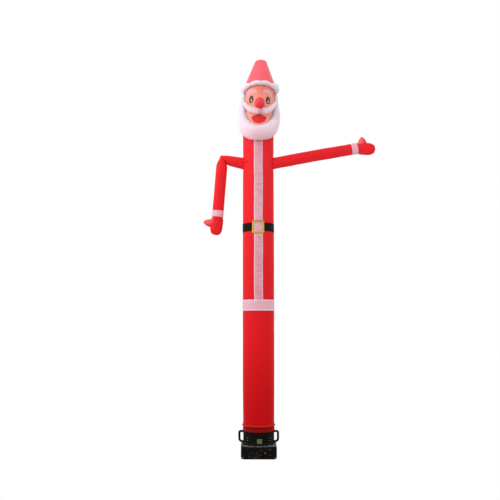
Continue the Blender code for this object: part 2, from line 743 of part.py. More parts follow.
def make_left_arm(nylon, white, shoulders, tube_space):
    root = Vector((-TUBE_RADIUS, 0, 0))
    out = 180 - LEFT_ARM_DEGREES
    pivot = Vector((-TUBE_RADIUS - LEFT_PIVOT_REACH, 0, -LEFT_PIVOT_DROP))
    rings = []
    for along, radius in ((-ARM_ROOT, LEFT_ROOT_RADIUS), (0.02, LEFT_ROOT_RADIUS)):
        rings.append(cross_section(root + heading(out) * along, out - 90, radius, radius))
    last = pivot + heading(out - 90) * LEFT_ELBOW_RADIUS - heading(out) * ELBOW_ROUND
    rings.append(cross_section(last, out - 90, LEFT_ELBOW_RADIUS, ARM_DEEP_RADIUS))
    for degrees, reach in ELBOW_FAN:
        half = (reach - ELBOW_ROUND) / 2
        middle = pivot + heading(degrees) * (ELBOW_ROUND + half)
        rings.append(cross_section(middle, degrees, half, ARM_DEEP_RADIUS))
    down = 270 - FOREARM_LEAN
    top = pivot + heading(down - 90) * FOREARM_RADIUS + heading(down) * 2 * ELBOW_ROUND
    for share in (0, 0.5, 1):
        middle = top + heading(down) * FOREARM_LENGTH * share
        rings.append(cross_section(middle, down - 90, FOREARM_RADIUS, ARM_DEEP_RADIUS))
    arm = add("arm_left", mesh_from(loft(rings), "arm_left"), nylon, shoulders)
    cut(arm, tube_space)
    wrist = top + heading(down) * (FOREARM_LENGTH + GAP)
    end = make_cuff(
        "cuff_left", wrist, down, LEFT_CUFF_LENGTH, LEFT_CUFF_RADIUS, white, shoulders
    )
    thumb = (
        LEFT_THUMB_PLACE,
        LEFT_THUMB_LENGTH,
        LEFT_THUMB_HALF_WIDTH,
        LEFT_THUMB_BLUNTNESS,
        -LEFT_THUMB_TURN,
    )
    wrist_radius = LEFT_CUFF_RADIUS * 0.96
    make_mitten("mitten_left", end, down, wrist_radius, -LEFT_HAND_TURN, thumb, nylon, shoulders)


# Head, hat and face

def head_profile(grow=0.0):
    return [
        (0, GAP - grow),
        (HEAD_END_RADIUS + grow, GAP - grow),
        (HEAD_RADIUS + grow, HEAD_HEIGHT * 0.3),
        (HEAD_RADIUS + grow, HEAD_HEIGHT * 0.7),
        (HEAD_END_RADIUS + grow, HEAD_HEIGHT + grow),
        (0, HEAD_HEIGHT + grow),
    ]


def hat_profile(grow=0.0):
    base = HEAD_HEIGHT + GAP
    return [
        (0, base - grow),
        (HAT_BASE_RADIUS + grow, base - grow),
        (HAT_SHOULDER_RADIUS + grow, HEAD_HEIGHT + HAT_SHOULDER_HEIGHT + grow),
        ((HAT_SHOULDER_RADIUS + HAT_TOP_RADIUS) / 2 + grow, HEAD_HEIGHT + HAT_HEIGHT * 0.982 + grow),
        (HAT_TOP_RADIUS + grow, HEAD_HEIGHT + HAT_HEIGHT + grow),
        (0, HEAD_HEIGHT + HAT_HEIGHT + grow),
    ]


def leaning(points):
    return [point + Vector((HEAD_LEAN * point.z, 0, 0)) for point in points]


def outward(angle):
    # A level direction at an angle from the front, positive towards +X
    return Vector((math.sin(angle), -math.cos(angle), 0))


def brim_rings(grow=0.0):
    # A gathered roll: thin over the face, full at the sides and the back
    rings = []
    level = Vector((0, 0, HEAD_HEIGHT - BRIM_BELOW_TOP))
    for i in range(BRIM_STEPS):
        angle = 2 * math.pi * i / BRIM_STEPS
        forward = (1 + math.cos(angle)) / 2
        height = BRIM_SIDE_HALF_HEIGHT + (BRIM_FRONT_HALF_HEIGHT - BRIM_SIDE_HALF_HEIGHT) * forward**3
        swell_here = -BRIM_LOBE_SWELL * math.cos(BRIM_LOBES * angle)
        out = outward(angle)
        middle = out * (BRIM_RADIUS + swell_here) + level
        deep = out * (BRIM_HALF_DEPTH + grow)
        up = Vector((0, 0, height + swell_here + grow))
        rings.append(leaning(ring(middle, deep, up, BRIM_SIDES)))
    return rings


def beard_stations():
    # (angle from the front, height, half width, puff) from the left end round the chin to the right
    side = math.radians(BEARD_SIDE_ANGLE)
    stations = []
    for i in range(BEARD_STEPS + 1):
        turn = math.radians(-90 + 180 * i / BEARD_STEPS)
        up = 1 - math.cos(turn)
        width = BEARD_CHIN_HALF_WIDTH + (BEARD_SIDE_HALF_WIDTH - BEARD_CHIN_HALF_WIDTH) * up
        puff = BEARD_CHIN_PUFF + (BEARD_SIDE_PUFF - BEARD_CHIN_PUFF) * up
        height = BEARD_MIDDLE - BEARD_DROP * math.cos(turn)
        stations.append((side * math.sin(turn), height, width, puff))
    ends = []
    for i in range(1, BEARD_END_STEPS + 1):
        share = i / BEARD_END_STEPS
        angle = side + (math.radians(BEARD_TOP_ANGLE) - side) * share
        height = BEARD_MIDDLE + (HEAD_HEIGHT - BEARD_BELOW_TOP - BEARD_MIDDLE) * share
        width = BEARD_SIDE_HALF_WIDTH + (BEARD_TOP_HALF_WIDTH - BEARD_SIDE_HALF_WIDTH) * share
        puff = BEARD_SIDE_PUFF + (BEARD_TOP_PUFF - BEARD_SIDE_PUFF) * share
        ends.append((angle, height, width, puff))
    left = [(-angle, height, width, puff) for angle, height, width, puff in reversed(ends)]
    return left + stations + ends


def roll_rings(stations, radii, sides, grow=0.0):
    # Rings along a roll that lies on the head: each is square to the roll's line
    places = [
        outward(angle) * radius + Vector((0, 0, height))
        for (angle, height, _, _), radius in zip(stations, radii)
    ]
    rings = []
    for i, (angle, _, width, puff) in enumerate(stations):
        along = (places[min(i + 1, len(places) - 1)] - places[max(i - 1, 0)]).normalized()
        across = along.cross(outward(angle)).normalized()
        out = across.cross(along)
        rings.append(leaning(ring(places[i], across * (width + grow), out * (puff + grow), sides)))
    return rings


def beard_rings(grow=0.0):
    stations = beard_stations()
    return roll_rings(stations, [BEARD_ROLL_RADIUS] * len(stations), BEARD_SIDES, grow)


def moustache_rings():
    stations = []
    radii = []
    for i in range(MOUSTACHE_STEPS + 1):
        share = -1 + 2 * i / MOUSTACHE_STEPS
        side = abs(share)
        pinch = MOUSTACHE_PINCH * math.exp(-((side / 0.12) ** 2))
        thin = side**3
        height = MOUSTACHE_MIDDLE + MOUSTACHE_RISE * side**2.5
        width = MOUSTACHE_HALF_HEIGHT + (MOUSTACHE_TIP_HALF_HEIGHT - MOUSTACHE_HALF_HEIGHT) * thin - pinch
        puff = MOUSTACHE_PUFF + (MOUSTACHE_TIP_PUFF - MOUSTACHE_PUFF) * thin - pinch
        stations.append((share * math.radians(MOUSTACHE_ANGLE), height, width, puff))
        radii.append(MOUSTACHE_RADIUS + (MOUSTACHE_TIP_RADIUS - MOUSTACHE_RADIUS) * side**2)
    return roll_rings(stations, radii, MOUSTACHE_SIDES)


def nose(grow=0.0):
    # A ball whose lower half draws in to a soft point
    profile = []
    for i in range(NOSE_LEVELS + 1):
        turn = math.pi * i / NOSE_LEVELS
        height = math.cos(turn)
        radius = math.sin(turn) * (1 - NOSE_POINT * max(0.0, -height) ** 2)
        ends = i in (0, NOSE_LEVELS)
        wide = 0 if ends else radius * (NOSE_RADIUS + grow)
        profile.append((wide, NOSE_MIDDLE + height * (NOSE_HALF_HEIGHT + grow)))
    bm = turned(profile, NOSE_SIDES, HEAD_LEAN)
    bmesh.ops.translate(bm, verts=bm.verts, vec=(0, -NOSE_PROUD, 0))
    return bm


def make_head(flesh, red, white, nose_red, centre, tube_space):
    def shaped(name, profile, look):
        return add(name, mesh_from(turned(profile, AROUND, HEAD_LEAN), name), look, centre)

    def space(name, bm):
        return cutter(name + "_space", mesh_from(bm, name + "_space"), centre)

    shaped("head", head_profile(), flesh)
    shaped("hat", hat_profile(), red)
    head_space = space("head", turned(head_profile(GAP), AROUND, HEAD_LEAN))
    hat_space = space("hat", turned(hat_profile(GAP), AROUND, HEAD_LEAN))
    brim = add("hat_brim", mesh_from(loft(brim_rings(), True), "hat_brim"), white, centre)
    cut(brim, head_space, hat_space)
    beard = add("beard", mesh_from(loft(beard_rings()), "beard"), white, centre)
    cut(beard, head_space, tube_space, space("brim", loft(brim_rings(GAP), True)))
    ball = add("nose", mesh_from(nose(), "nose"), nose_red, centre)
    cut(ball, head_space)
    moustache = add("moustache", mesh_from(loft(moustache_rings()), "moustache"), white, centre)
    cut(moustache, head_space, space("beard", loft(beard_rings(GAP))), space("nose", nose(GAP)))


def build():
    clear_scene()
    black_plastic = material("black_plastic", (0.020, 0.022, 0.018), 0.45)
    red_plastic = material("red_plastic", (0.65, 0.04, 0.03), 0.35)
    steel = material("screw_steel", (0.62, 0.63, 0.62), 0.35, 1.0)
    red_nylon = material("red_nylon", (0.80, 0.015, 0.020), 0.55)
    white_nylon = material("white_nylon", (0.86, 0.74, 0.82), 0.60)
    pink_nylon = material("placket_nylon", (0.76, 0.50, 0.56), 0.60)
    black_nylon = material("belt_nylon", (0.020, 0.012, 0.014), 0.55)
    yellow_nylon = material("buckle_nylon", (0.80, 0.48, 0.03), 0.50)
    flesh_nylon = material("flesh_nylon", (0.93, 0.40, 0.27), 0.60)
    nose_nylon = material("nose_nylon", (0.75, 0.03, 0.05), 0.50)

    case_top = empty("case_top", (0, 0, HOUSING_HEIGHT))
    foot = empty("tube_foot", (0, 0, tube_foot))
    shoulders = empty("shoulders", (0, 0, shoulder))
    head_centre = empty("neck", (0, 0, neck))
    head_centre.rotation_euler.z = math.radians(HEAD_TURN)

    make_housing(black_plastic)
    make_drum(black_plastic, case_top)
    drum_space = drum_cutter(case_top)
    make_handle("handle_left", -1, black_plastic, case_top, drum_space)
    make_handle("handle_right", 1, black_plastic, case_top, drum_space)
    make_screws(steel, case_top)
    make_switch(black_plastic, red_plastic)

    make_tube(red_nylon, foot)
    make_bands(white_nylon, pink_nylon, black_nylon, yellow_nylon, foot)
    tube_space = tube_cutter(foot)
    make_right_arm(red_nylon, white_nylon, shoulders, tube_space)
    make_left_arm(red_nylon, white_nylon, shoulders, tube_space)
    chest_space = tube_cutter(foot, BAND_THICKNESS + GAP)
    make_head(flesh_nylon, red_nylon, white_nylon, nose_nylon, head_centre, chest_space)


build()
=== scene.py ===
# Inflatable santa on its floor blower: the looks, built round its solid parts.
# Metres, +Z up, the santa faces -Y. Left and right are as seen from the front.

import math

import bmesh
import bpy
import numpy as np
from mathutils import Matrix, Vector
from mathutils.bvhtree import BVHTree


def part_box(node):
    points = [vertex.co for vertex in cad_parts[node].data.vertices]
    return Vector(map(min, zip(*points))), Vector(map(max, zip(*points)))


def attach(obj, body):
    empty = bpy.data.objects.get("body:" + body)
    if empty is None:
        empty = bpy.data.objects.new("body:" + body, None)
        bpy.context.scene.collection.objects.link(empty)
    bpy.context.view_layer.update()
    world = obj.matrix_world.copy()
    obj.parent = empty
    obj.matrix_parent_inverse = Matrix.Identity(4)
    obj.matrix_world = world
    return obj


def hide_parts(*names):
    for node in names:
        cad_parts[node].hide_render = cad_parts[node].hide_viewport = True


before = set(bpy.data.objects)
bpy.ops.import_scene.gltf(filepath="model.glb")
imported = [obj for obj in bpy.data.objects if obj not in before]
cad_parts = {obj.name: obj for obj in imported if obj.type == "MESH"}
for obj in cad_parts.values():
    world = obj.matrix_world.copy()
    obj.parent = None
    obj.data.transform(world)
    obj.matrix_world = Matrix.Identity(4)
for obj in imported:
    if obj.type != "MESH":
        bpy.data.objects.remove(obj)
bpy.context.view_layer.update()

view = {
    "place": (-0.128, -9.8, 1.9396),
    "upward": 6.418,  # degrees
    "lens": 46.728,
    "sensor": 36.0,
}

light = {
    "towards": (-0.42, -0.45, 0.78),  # the brighter side of the studio
    "dim": 0.95,
    "bright": 0.92,
    "spread": (-0.75, 1.0),  # from its darkest side to its brightest
    "key": {"place": (-3.0, -4.4, 8.6), "target": (0.0, 0.0, 4.8), "size": (3.4, 3.4), "power": 95.0},
    "side": {"place": (-5.2, -0.6, 4.8), "target": (0.0, 0.0, 3.6), "size": (1.0, 5.4), "power": 78.0},
    "floorTone": 0.80,
    "floorHalf": 60.0,
}

levels = {
    "foot": 0.373,  # the skirt's lower edge
    "shoulder": 4.385,
    "neck": 4.850,
}

wholeTurn = 2 * math.pi
clearance = 0.0006  # left between cloths that lie on each other


def smooth(low, high, x):
    t = np.clip((x - low) / (high - low), 0, 1)
    return t * t * (3 - 2 * t)


def bump(x, width):
    return np.exp(-((x / width) ** 2))


def waves(points, size, seed, count=6):
    # Soft seeded noise, about -1 to 1: sine waves in random directions
    draw = np.random.default_rng(seed)
    total = 0
    for _ in range(count):
        direction = draw.normal(size=points.shape[-1])
        direction /= np.linalg.norm(direction)
        pace = wholeTurn / (size * draw.uniform(0.7, 1.5))
        total = total + np.sin(points @ direction * pace + draw.uniform(0, wholeTurn))
    return total / math.sqrt(count) / 1.4


def uneven(points, layers):
    # Adds up layers of soft noise, each with its depth, size and seed
    return sum(depth * waves(points, size, seed) for depth, size, seed in layers)


def gathers(along, away, span, spacing, depth, reach, seed):
    # Puckers beside a seam, which fade within reach of it; along repeats after span. Most pieces give
    # the last four values as one row of their dictionary.
    draw = np.random.default_rng(seed)
    ridges = 0
    for _ in range(5):
        turns = max(1, round(span / (spacing * draw.uniform(0.7, 1.6))))
        phase = draw.uniform(0, wholeTurn)
        ridges = ridges + np.sin(along * wholeTurn * turns / span + phase)
    swing = np.sin(along * wholeTurn * max(1, round(span / (spacing * 9))) / span + seed)
    return depth * ridges / 2.2 * (0.62 + 0.38 * swing) * np.exp(-np.abs(away) / reach)


def eased(table, x, blur):
    # Reads a table of (x, value) rows, with its corners rounded off over blur
    xs = [row[0] for row in table]
    ys = [row[1] for row in table]
    total = 0
    for shift, weight in ((-1, 1), (-0.5, 2), (0, 3), (0.5, 2), (1, 1)):
        total = total + weight * np.interp(x + shift * blur, xs, ys)
    return total / 9


def between(first, last, share):
    return first + (last - first) * share


def around(count):
    # Angles about the front, from the back to the back
    return np.linspace(-math.pi, math.pi, count, endpoint=False)


def ring(count):
    return np.linspace(0, wholeTurn, count, endpoint=False)


def runAlong(points):
    # The running length along a line of points
    return np.concatenate([[0], np.cumsum(np.linalg.norm(np.diff(points, axis=0), axis=1))])


def placed(radius, angle, height):
    return np.stack([radius * np.sin(angle), -radius * np.cos(angle), height + 0 * angle], axis=-1)


def skinned(name, points, u=None, v=None, wrap=True):
    # A closed skin over rows of points, with flat ends; u and v are its lengths along the cloth in metres
    rows, columns = points.shape[:2]
    i, j = np.meshgrid(np.arange(rows - 1), np.arange(columns if wrap else columns - 1), indexing="ij")
    k = (j + 1) % columns
    quads = np.stack([i * columns + j, i * columns + k, (i + 1) * columns + k, (i + 1) * columns + j], -1)
    quads = quads.reshape(-1, 4)
    places = [*points.reshape(-1, 3), points[0].mean(0), points[-1].mean(0)]
    first = rows * columns
    start = [(first, (a + 1) % columns, a) for a in range(columns)]
    last = (rows - 1) * columns
    end = [(first + 1, last + a, last + (a + 1) % columns) for a in range(columns)]
    corners = np.array(places)
    a, b, c, d = (corners[quads[:, n]] for n in range(4))
    volume = np.einsum("ij,ij->", a, np.cross(b, c)) + np.einsum("ij,ij->", a, np.cross(c, d))
    faces = [tuple(q) for q in quads.tolist()] + start + end
    if volume < 0:
        faces = [face[::-1] for face in faces]
    mesh = bpy.data.meshes.new(name)
    mesh.from_pydata(corners.tolist(), [], faces)
    if u is not None:
        across = np.concatenate([u, u[:, :1] + (u[:, -1:] - u[:, :1]) * columns / (columns - 1)], 1)
        upward = np.concatenate([v, v[:, :1]], 1)
        table = np.zeros((len(faces), 4, 2))
        for n, (di, dj) in enumerate(((0, 0), (0, 1), (1, 1), (1, 0))):
            table[: len(quads), n, 0] = across[i + di, j + dj].ravel()
            table[: len(quads), n, 1] = upward[i + di, j + dj].ravel()
        if volume < 0:
            table[: len(quads)] = table[: len(quads), ::-1]
        ends = np.zeros((len(start) + len(end), 3, 2))
        ends[:, :, 1] = np.repeat([v[0, 0], v[-1, 0]], columns)[:, None]
        flat = np.concatenate([table[: len(quads)].reshape(-1, 2), ends.reshape(-1, 2)])
        mesh.uv_layers.new(name="cloth").data.foreach_set("uv", flat.astype(np.float32).ravel())
    mesh.shade_smooth()
    return shown(name, mesh)


def shown(name, mesh):
    piece = bpy.data.objects.new(name, mesh)
    bpy.context.scene.collection.objects.link(piece)
    return piece


def lengths(points, axis):
    # The running length along a grid of points
    steps = np.linalg.norm(np.diff(points, axis=axis), axis=-1)
    zero = np.zeros_like(np.take(steps, [0], axis=axis))
    return np.concatenate([zero, np.cumsum(steps, axis=axis)], axis=axis)


def spots(piece):
    flat = np.empty(len(piece.data.vertices) * 3)
    piece.data.vertices.foreach_get("co", flat)
    return flat.reshape(-1, 3)


def normals(piece):
    flat = np.empty(len(piece.data.vertices) * 3)
    piece.data.vertices.foreach_get("normal", flat)
    return flat.reshape(-1, 3)


def moved(piece, points):
    piece.data.vertices.foreach_set("co", points.astype(np.float32).ravel())
    piece.data.update()


def clearOf(piece, neighbour, gap, within=0.05):
    # Flattens a puffed piece where it lies against a neighbour, gap off its surface
    data = neighbour.data
    tree = BVHTree.FromPolygons([v.co for v in data.vertices], [p.vertices for p in data.polygons])
    points = spots(piece)
    for n, point in enumerate(points):
        place, normal, _, _ = tree.find_nearest(Vector(point), within)
        if place is not None and (Vector(point) - place).dot(normal) < gap:
            points[n] = place + normal * gap
    moved(piece, points)


def dress(piece, nodes, look):
    piece.data.materials.clear()
    piece.data.materials.append(look)
    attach(piece, "root")
    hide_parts(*nodes)
    return piece


# Materials

stitchPitch = 0.0036  # metres from stitch to stitch

cloths = {  # the deep colour shows in patches, and as painted shade between set heights
    "red": {"color": (0.85, 0.024, 0.032), "deep": (0.63, 0.005, 0.007)},
    # Painted highlight over the thumbs
    "thumb": {"color": (0.93, 0.190, 0.195)},
    # Painted shade for the tube: darker low down, on the bead, in the groove under it and at the hem
    "skirt": {
        "low": (0.43, 0.003, 0.004),  # the tube's lower part
        "bead": (0.50, 0.016, 0.018),
        "groove": (0.10, 0.001, 0.001),
        "hem": (0.25, 0.003, 0.003),
    },
    # Partly the hat's own paler red, partly painted light on the figure's top
    "paleRed": {"color": (0.92, 0.070, 0.110), "deep": (0.88, 0.040, 0.065)},
    "white": {"color": (0.84, 0.67, 0.76), "deep": (0.80, 0.53, 0.58)},
    "cuff": {"color": (0.85, 0.46, 0.53), "deep": (0.81, 0.37, 0.43)},
    "moustache": {"color": (0.82, 0.60, 0.665), "deep": (0.79, 0.45, 0.50), "middle": (1.0, 0.28, 0.32)},
    "nose": {"color": (0.84, 0.035, 0.050), "deep": (0.76, 0.020, 0.032)},
    # The forehead colour is a painted shadow of the brim
    "face": {"color": (0.90, 0.345, 0.255), "deep": (0.86, 0.265, 0.18), "foreheadBrimShadow": (0.85, 0.210, 0.148)},
    "placket": {"color": (0.75, 0.43, 0.51), "deep": (0.70, 0.24, 0.29), "border": (0.80, 0.62, 0.72)},
    "hem": {"color": (0.78, 0.47, 0.55), "deep": (0.72, 0.36, 0.43), "border": (0.82, 0.62, 0.72)},
    "belt": {"color": (0.013, 0.006, 0.006), "deep": (0.008, 0.003, 0.003), "border": (0.014, 0.007, 0.007)},
    "buckle": {
        "color": (0.74, 0.43, 0.020),
        "deep": (0.56, 0.26, 0.010),
        # painted shade on the upper bar
        "upper": (0.50, 0.20, 0.012),
        "border": (0.16, 0.075, 0.012),
    },
}


def node(tree, kind, wires=(), **settings):
    made = tree.nodes.new("ShaderNode" + kind)
    for key, value in settings.items():
        setattr(made, key, value)
    for key, value in dict(wires).items():
        if isinstance(value, bpy.types.NodeSocket):
            tree.links.new(value, made.inputs[key])
        else:
            made.inputs[key].default_value = value
    return made


def sums(tree, operation, *values, clamp=False):
    return node(tree, "Math", dict(enumerate(values)), operation=operation, use_clamp=clamp).outputs[0]


def plus(tree, first, second, clamp=False):
    return sums(tree, "ADD", first, second, clamp=clamp)


def minus(tree, first, second):
    return sums(tree, "SUBTRACT", first, second)


def times(tree, first, second, clamp=False):
    return sums(tree, "MULTIPLY", first, second, clamp=clamp)


def over(tree, first, second):
    return sums(tree, "DIVIDE", first, second)


def positive(tree, value):
    return sums(tree, "ABSOLUTE", value)


def mixed(tree, share, first, second):
    return node(tree, "Mix", {0: share, 6: first, 7: second}, data_type="RGBA").outputs[2]


def ramped(tree, value, low, high):
    made = node(tree, "MapRange", {0: value, 1: low, 2: high}, interpolation_type="SMOOTHSTEP")
    return made.outputs[0]


def noise(tree, place, scale, detail=2.0, roughness=0.5, distortion=0.0):
    wires = {"Vector": place, "Scale": scale, "Detail": detail, "Roughness": roughness}
    return node(tree, "TexNoise", {**wires, "Distortion": distortion}).outputs[0]


def objectPlace(tree):
    return node(tree, "TexCoord").outputs["Object"]


def split(tree, vector):
    return node(tree, "SeparateXYZ", {0: vector}).outputs


def openGroup(name, inputs, outputs):
    group = bpy.data.node_groups.new(name, "ShaderNodeTree")
    for label, value in inputs.items():
        kind = "Float" if isinstance(value, float) else "Color"
        socket = group.interface.new_socket(label, in_out="INPUT", socket_type="NodeSocket" + kind)
        socket.default_value = value
    for label in outputs:
        kind = "Color" if label == "Color" else "Float"
        group.interface.new_socket(label, in_out="OUTPUT", socket_type="NodeSocket" + kind)
    given, out = group.nodes.new("NodeGroupInput"), group.nodes.new("NodeGroupOutput")
    return group, given.outputs, out.inputs


def closed(group, out, results):
    for label, value in results.items():
        group.links.new(value, out[label])
    return group


def makeNylonGroup():
    # Thin woven nylon: fine threads, soft crinkles, cloud-like unevenness in its colour, and painted shade
    # between two heights
    inputs = {
        "Color": (0.8, 0.02, 0.03, 1),
        "Deep Color": (0.6, 0.01, 0.02, 1),
        "Mottle": 0.25,
        "Crinkle": 1.0,
        "Roughness": 0.5,
        "Painted Shade Low": -2.0,  # the heights between which its deep colour gives way to its plain one
        "Painted Shade High": -1.0,
    }
    group, given, out = openGroup("wovenNylon", inputs, ("Color", "Roughness", "Height"))
    place = objectPlace(group)
    rise = split(group, place)[2]
    # Painted shade: the deep colour takes over between the two heights
    paintedShaded = node(group, "MapRange", {0: rise, 1: given["Painted Shade High"], 2: given["Painted Shade Low"]}).outputs[0]
    cloud = noise(group, place, 2.2, 3.0, 0.55)
    fine = noise(group, place, 38.0, 4.0, 0.6)
    fold = noise(group, place, 9.0, 3.0, distortion=0.7)
    share = times(group, ramped(group, cloud, 0.32, 0.72), given["Mottle"])
    speck = times(group, ramped(group, fine, 0.45, 0.75), 0.10)
    share = sums(group, "MAXIMUM", plus(group, share, speck), paintedShaded, clamp=True)
    tone = mixed(group, share, given["Color"], given["Deep Color"])
    pace = 5200.0  # radians of thread pattern in a metre
    scaled = node(group, "VectorMath", {0: place, 1: (pace, pace, pace)}, operation="MULTIPLY").outputs[0]
    x, y, z = split(group, scaled)
    threads = plus(group, sums(group, "SINE", z), sums(group, "SINE", plus(group, x, y)))
    rough = plus(group, given["Roughness"], times(group, minus(group, fine, 0.5), 0.16))
    crinkle = plus(group, times(group, fold, 2.2), times(group, fine, 0.5))
    height = plus(group, times(group, crinkle, given["Crinkle"]), times(group, threads, 0.03))
    return closed(group, out, {"Color": tone, "Roughness": rough, "Height": height})


def makeSeamGroup():
    # A line of stitches along a seam: thread dashes in a shallow furrow. Inputs are lengths in metres.
    inputs = {"Along": 0.0, "Across": 0.0, "Place": 0.01, "Pitch": stitchPitch}
    group, given, out = openGroup("seamStitches", inputs, ("Thread", "Height"))
    off = positive(group, minus(group, given["Across"], given["Place"]))
    line = ramped(group, off, 0.0009, 0.0005)
    dash = sums(group, "FRACT", over(group, given["Along"], given["Pitch"]))
    thread = times(group, line, ramped(group, dash, 0.30, 0.40))
    furrow = times(group, ramped(group, off, 0.005, 0.0), -0.8)
    height = plus(group, furrow, times(group, thread, 0.9))
    return closed(group, out, {"Thread": thread, "Height": height})


def makePrintGroup():
    # A soft-edged printed oval, placed in metres along the cloth
    inputs = {
        "Along": 0.0,
        "Up": 0.0,
        "Centre Along": 0.0,
        "Centre Up": 0.0,
        "Half Width": 0.1,
        "Half Height": 0.1,
        "Softness": 0.08,
    }
    group, given, out = openGroup("printedOval", inputs, ("Mask",))
    x = over(group, minus(group, given["Along"], given["Centre Along"]), given["Half Width"])
    y = over(group, minus(group, given["Up"], given["Centre Up"]), given["Half Height"])
    reach = sums(group, "SQRT", plus(group, times(group, x, x), times(group, y, y)))
    low = plus(group, 1.0, given["Softness"])
    high = minus(group, 1.0, given["Softness"])
    return closed(group, out, {"Mask": ramped(group, reach, low, high)})


def makePlasticGroup():
    # Moulded plastic: a fine grain, rubbed patches, and a pale coat on what faces up that is partly dust
    # and partly a painted reflection
    inputs = {
        "Color": (0.02, 0.02, 0.02, 1),
        "Dust And Reflection Color": (0.30, 0.28, 0.26, 1),
        "Dust And Reflection": 0.3,
        "Roughness": 0.4,
        "Grain": 1.0,
    }
    group, given, out = openGroup("mouldedPlastic", inputs, ("Color", "Roughness", "Height"))
    place = objectPlace(group)
    facing = split(group, node(group, "NewGeometry").outputs["Normal"])[2]
    grain = noise(group, place, 900.0)
    patch = noise(group, place, 14.0, 5.0, 0.65)
    scuff = noise(group, place, 60.0, 6.0, distortion=1.5)
    # What faces up gets dust and a painted reflection
    lying = times(group, ramped(group, facing, 0.25, 0.95), ramped(group, patch, 0.30, 0.66))
    dustAndReflectionShare = times(group, plus(group, lying, 0.02), given["Dust And Reflection"], clamp=True)
    rubbed = times(group, ramped(group, scuff, 0.60, 0.74), 0.03)
    tone = mixed(group, plus(group, dustAndReflectionShare, rubbed, clamp=True), given["Color"], given["Dust And Reflection Color"])
    rough = plus(group, given["Roughness"], times(group, minus(group, patch, 0.45), 0.35))
    height = times(group, grain, given["Grain"])
    return closed(group, out, {"Color": tone, "Roughness": rough, "Height": height})


nylonGroup = makeNylonGroup()
seamGroup = makeSeamGroup()
printGroup = makePrintGroup()
plasticGroup = makePlasticGroup()


def placedGroup(tree, group, wires):
    return node(tree, "Group", wires, node_tree=group).outputs


def rgb(*color):
    return (*color, 1.0)


def startMaterial(name, specular, sheen=0.0):
    made = bpy.data.materials.new(name)
    made.use_nodes = True
    shader = made.node_tree.nodes["Principled BSDF"]
    shader.inputs["Sheen Weight"].default_value = sheen
    shader.inputs["Sheen Roughness"].default_value = 0.4
    shader.inputs["Specular IOR Level"].default_value = specular
    return made, made.node_tree, shader


def wireUp(tree, shader, tone, roughness, height, strength=0.35, distance=0.0012):
    tree.links.new(tone, shader.inputs["Base Color"])
    tree.links.new(roughness, shader.inputs["Roughness"])
    made = node(tree, "Bump", {"Height": height, "Strength": strength, "Distance": distance})
    tree.links.new(made.outputs[0], shader.inputs["Normal"])


def colorPlug(made):
    return made.node_tree.nodes["Principled BSDF"].inputs["Base Color"]


def clothLengths(tree):
    # Metres across and along the cloth
    return split(tree, node(tree, "UVMap", uv_map="cloth").outputs[0])


def woven(tree, key, mottle, roughness, paintedShade=None, crinkle=1.0):
    colors = cloths[key]
    wires = {"Color": rgb(*colors["color"]), "Deep Color": rgb(*colors["deep"]), "Mottle": mottle}
    wires.update({"Roughness": roughness, "Crinkle": crinkle})
    if paintedShade:
        wires.update({"Painted Shade Low": paintedShade[0], "Painted Shade High": paintedShade[1]})
    return placedGroup(tree, nylonGroup, wires)


def nylon(name, key, mottle=0.3, roughness=0.5, specular=0.12, paintedShade=None, glow=0.0):
    # Glow is how much of the light passes through the thin cloth and spreads inside the chamber
    made, tree, shader = startMaterial(name, specular)
    if glow:
        shader.inputs["Subsurface Weight"].default_value = glow
        shader.inputs["Subsurface Scale"].default_value = 0.18
        shader.inputs["Subsurface Radius"].default_value = (1.0, 0.85, 0.9)
    cloth = woven(tree, key, mottle, roughness, paintedShade)
    wireUp(tree, shader, cloth["Color"], cloth["Roughness"], cloth["Height"])
    return made


def bandNylon(name, key, width, fold, specular=0.15, mottle=0.6, paintedCreaseShade=0.0, sides=(1.0, 1.0), paintedShade=None):
    # A sewn band: the seam allowance folded under it shows as a paler border, with stitches along it.
    # Its short gathers get painted shade in their creases, and sides is how much of the border shows on each
    # side
    made, tree, shader = startMaterial(name, specular)
    cloth = woven(tree, key, mottle, 0.55, paintedShade)
    across, along, _ = clothLengths(tree)
    deep, border = cloths[key]["deep"], cloths[key]["border"]
    tone = cloth["Color"]
    # Painted shade in the creases of its short gathers
    if paintedCreaseShade:
        flow = node(tree, "CombineXYZ", {0: times(tree, across, 8.0), 1: times(tree, along, 42.0)})
        gather = ramped(tree, noise(tree, flow.outputs[0], 1.0, 2.5, distortion=0.9), 0.54, 0.62)
        dark = rgb(deep[0] * 0.92, deep[1] * 0.55, deep[2] * 0.6)
        tone = mixed(tree, times(tree, gather, paintedCreaseShade), tone, dark)
    nearSide = minus(tree, width / 2, positive(tree, across))
    folded = ramped(tree, nearSide, fold * 1.25, fold * 0.85)
    share = node(tree, "MapRange", {0: across, 1: -0.01, 2: 0.01, 3: sides[0], 4: sides[1]}).outputs[0]
    tone = mixed(tree, times(tree, folded, share), tone, rgb(*border))
    seam = placedGroup(tree, seamGroup, {"Along": along, "Across": nearSide, "Place": fold * 0.45})
    tone = mixed(tree, times(tree, seam["Thread"], 0.5), tone, rgb(*[c * 0.8 for c in border]))
    height = plus(tree, cloth["Height"], seam["Height"])
    wireUp(tree, shader, tone, cloth["Roughness"], height, 0.4)
    return made


def buckleMaterial():
    # Yellow cloth over a pad, browner along its edges, with painted shade darkening its upper bar
    made, tree, shader = startMaterial("buckleNylon", 0.4, 0.05)
    cloth = woven(tree, "buckle", 0.7, 0.36)
    across = positive(tree, clothLengths(tree)[0])
    rise = split(tree, objectPlace(tree))[2]
    middle = levels["foot"] + buckle["middle"]
    # Painted shade on the upper bar
    upper = ramped(tree, rise, middle + 0.055, middle + 0.085)
    tone = mixed(tree, times(tree, upper, 0.75), cloth["Color"], rgb(*cloths["buckle"]["upper"]))
    edge = ramped(tree, across, buckle["bar"] * 0.36, buckle["bar"] * 0.49)
    tone = mixed(tree, times(tree, edge, 0.8), tone, rgb(*cloths["buckle"]["border"]))
    wireUp(tree, shader, tone, cloth["Roughness"], cloth["Height"])
    return made


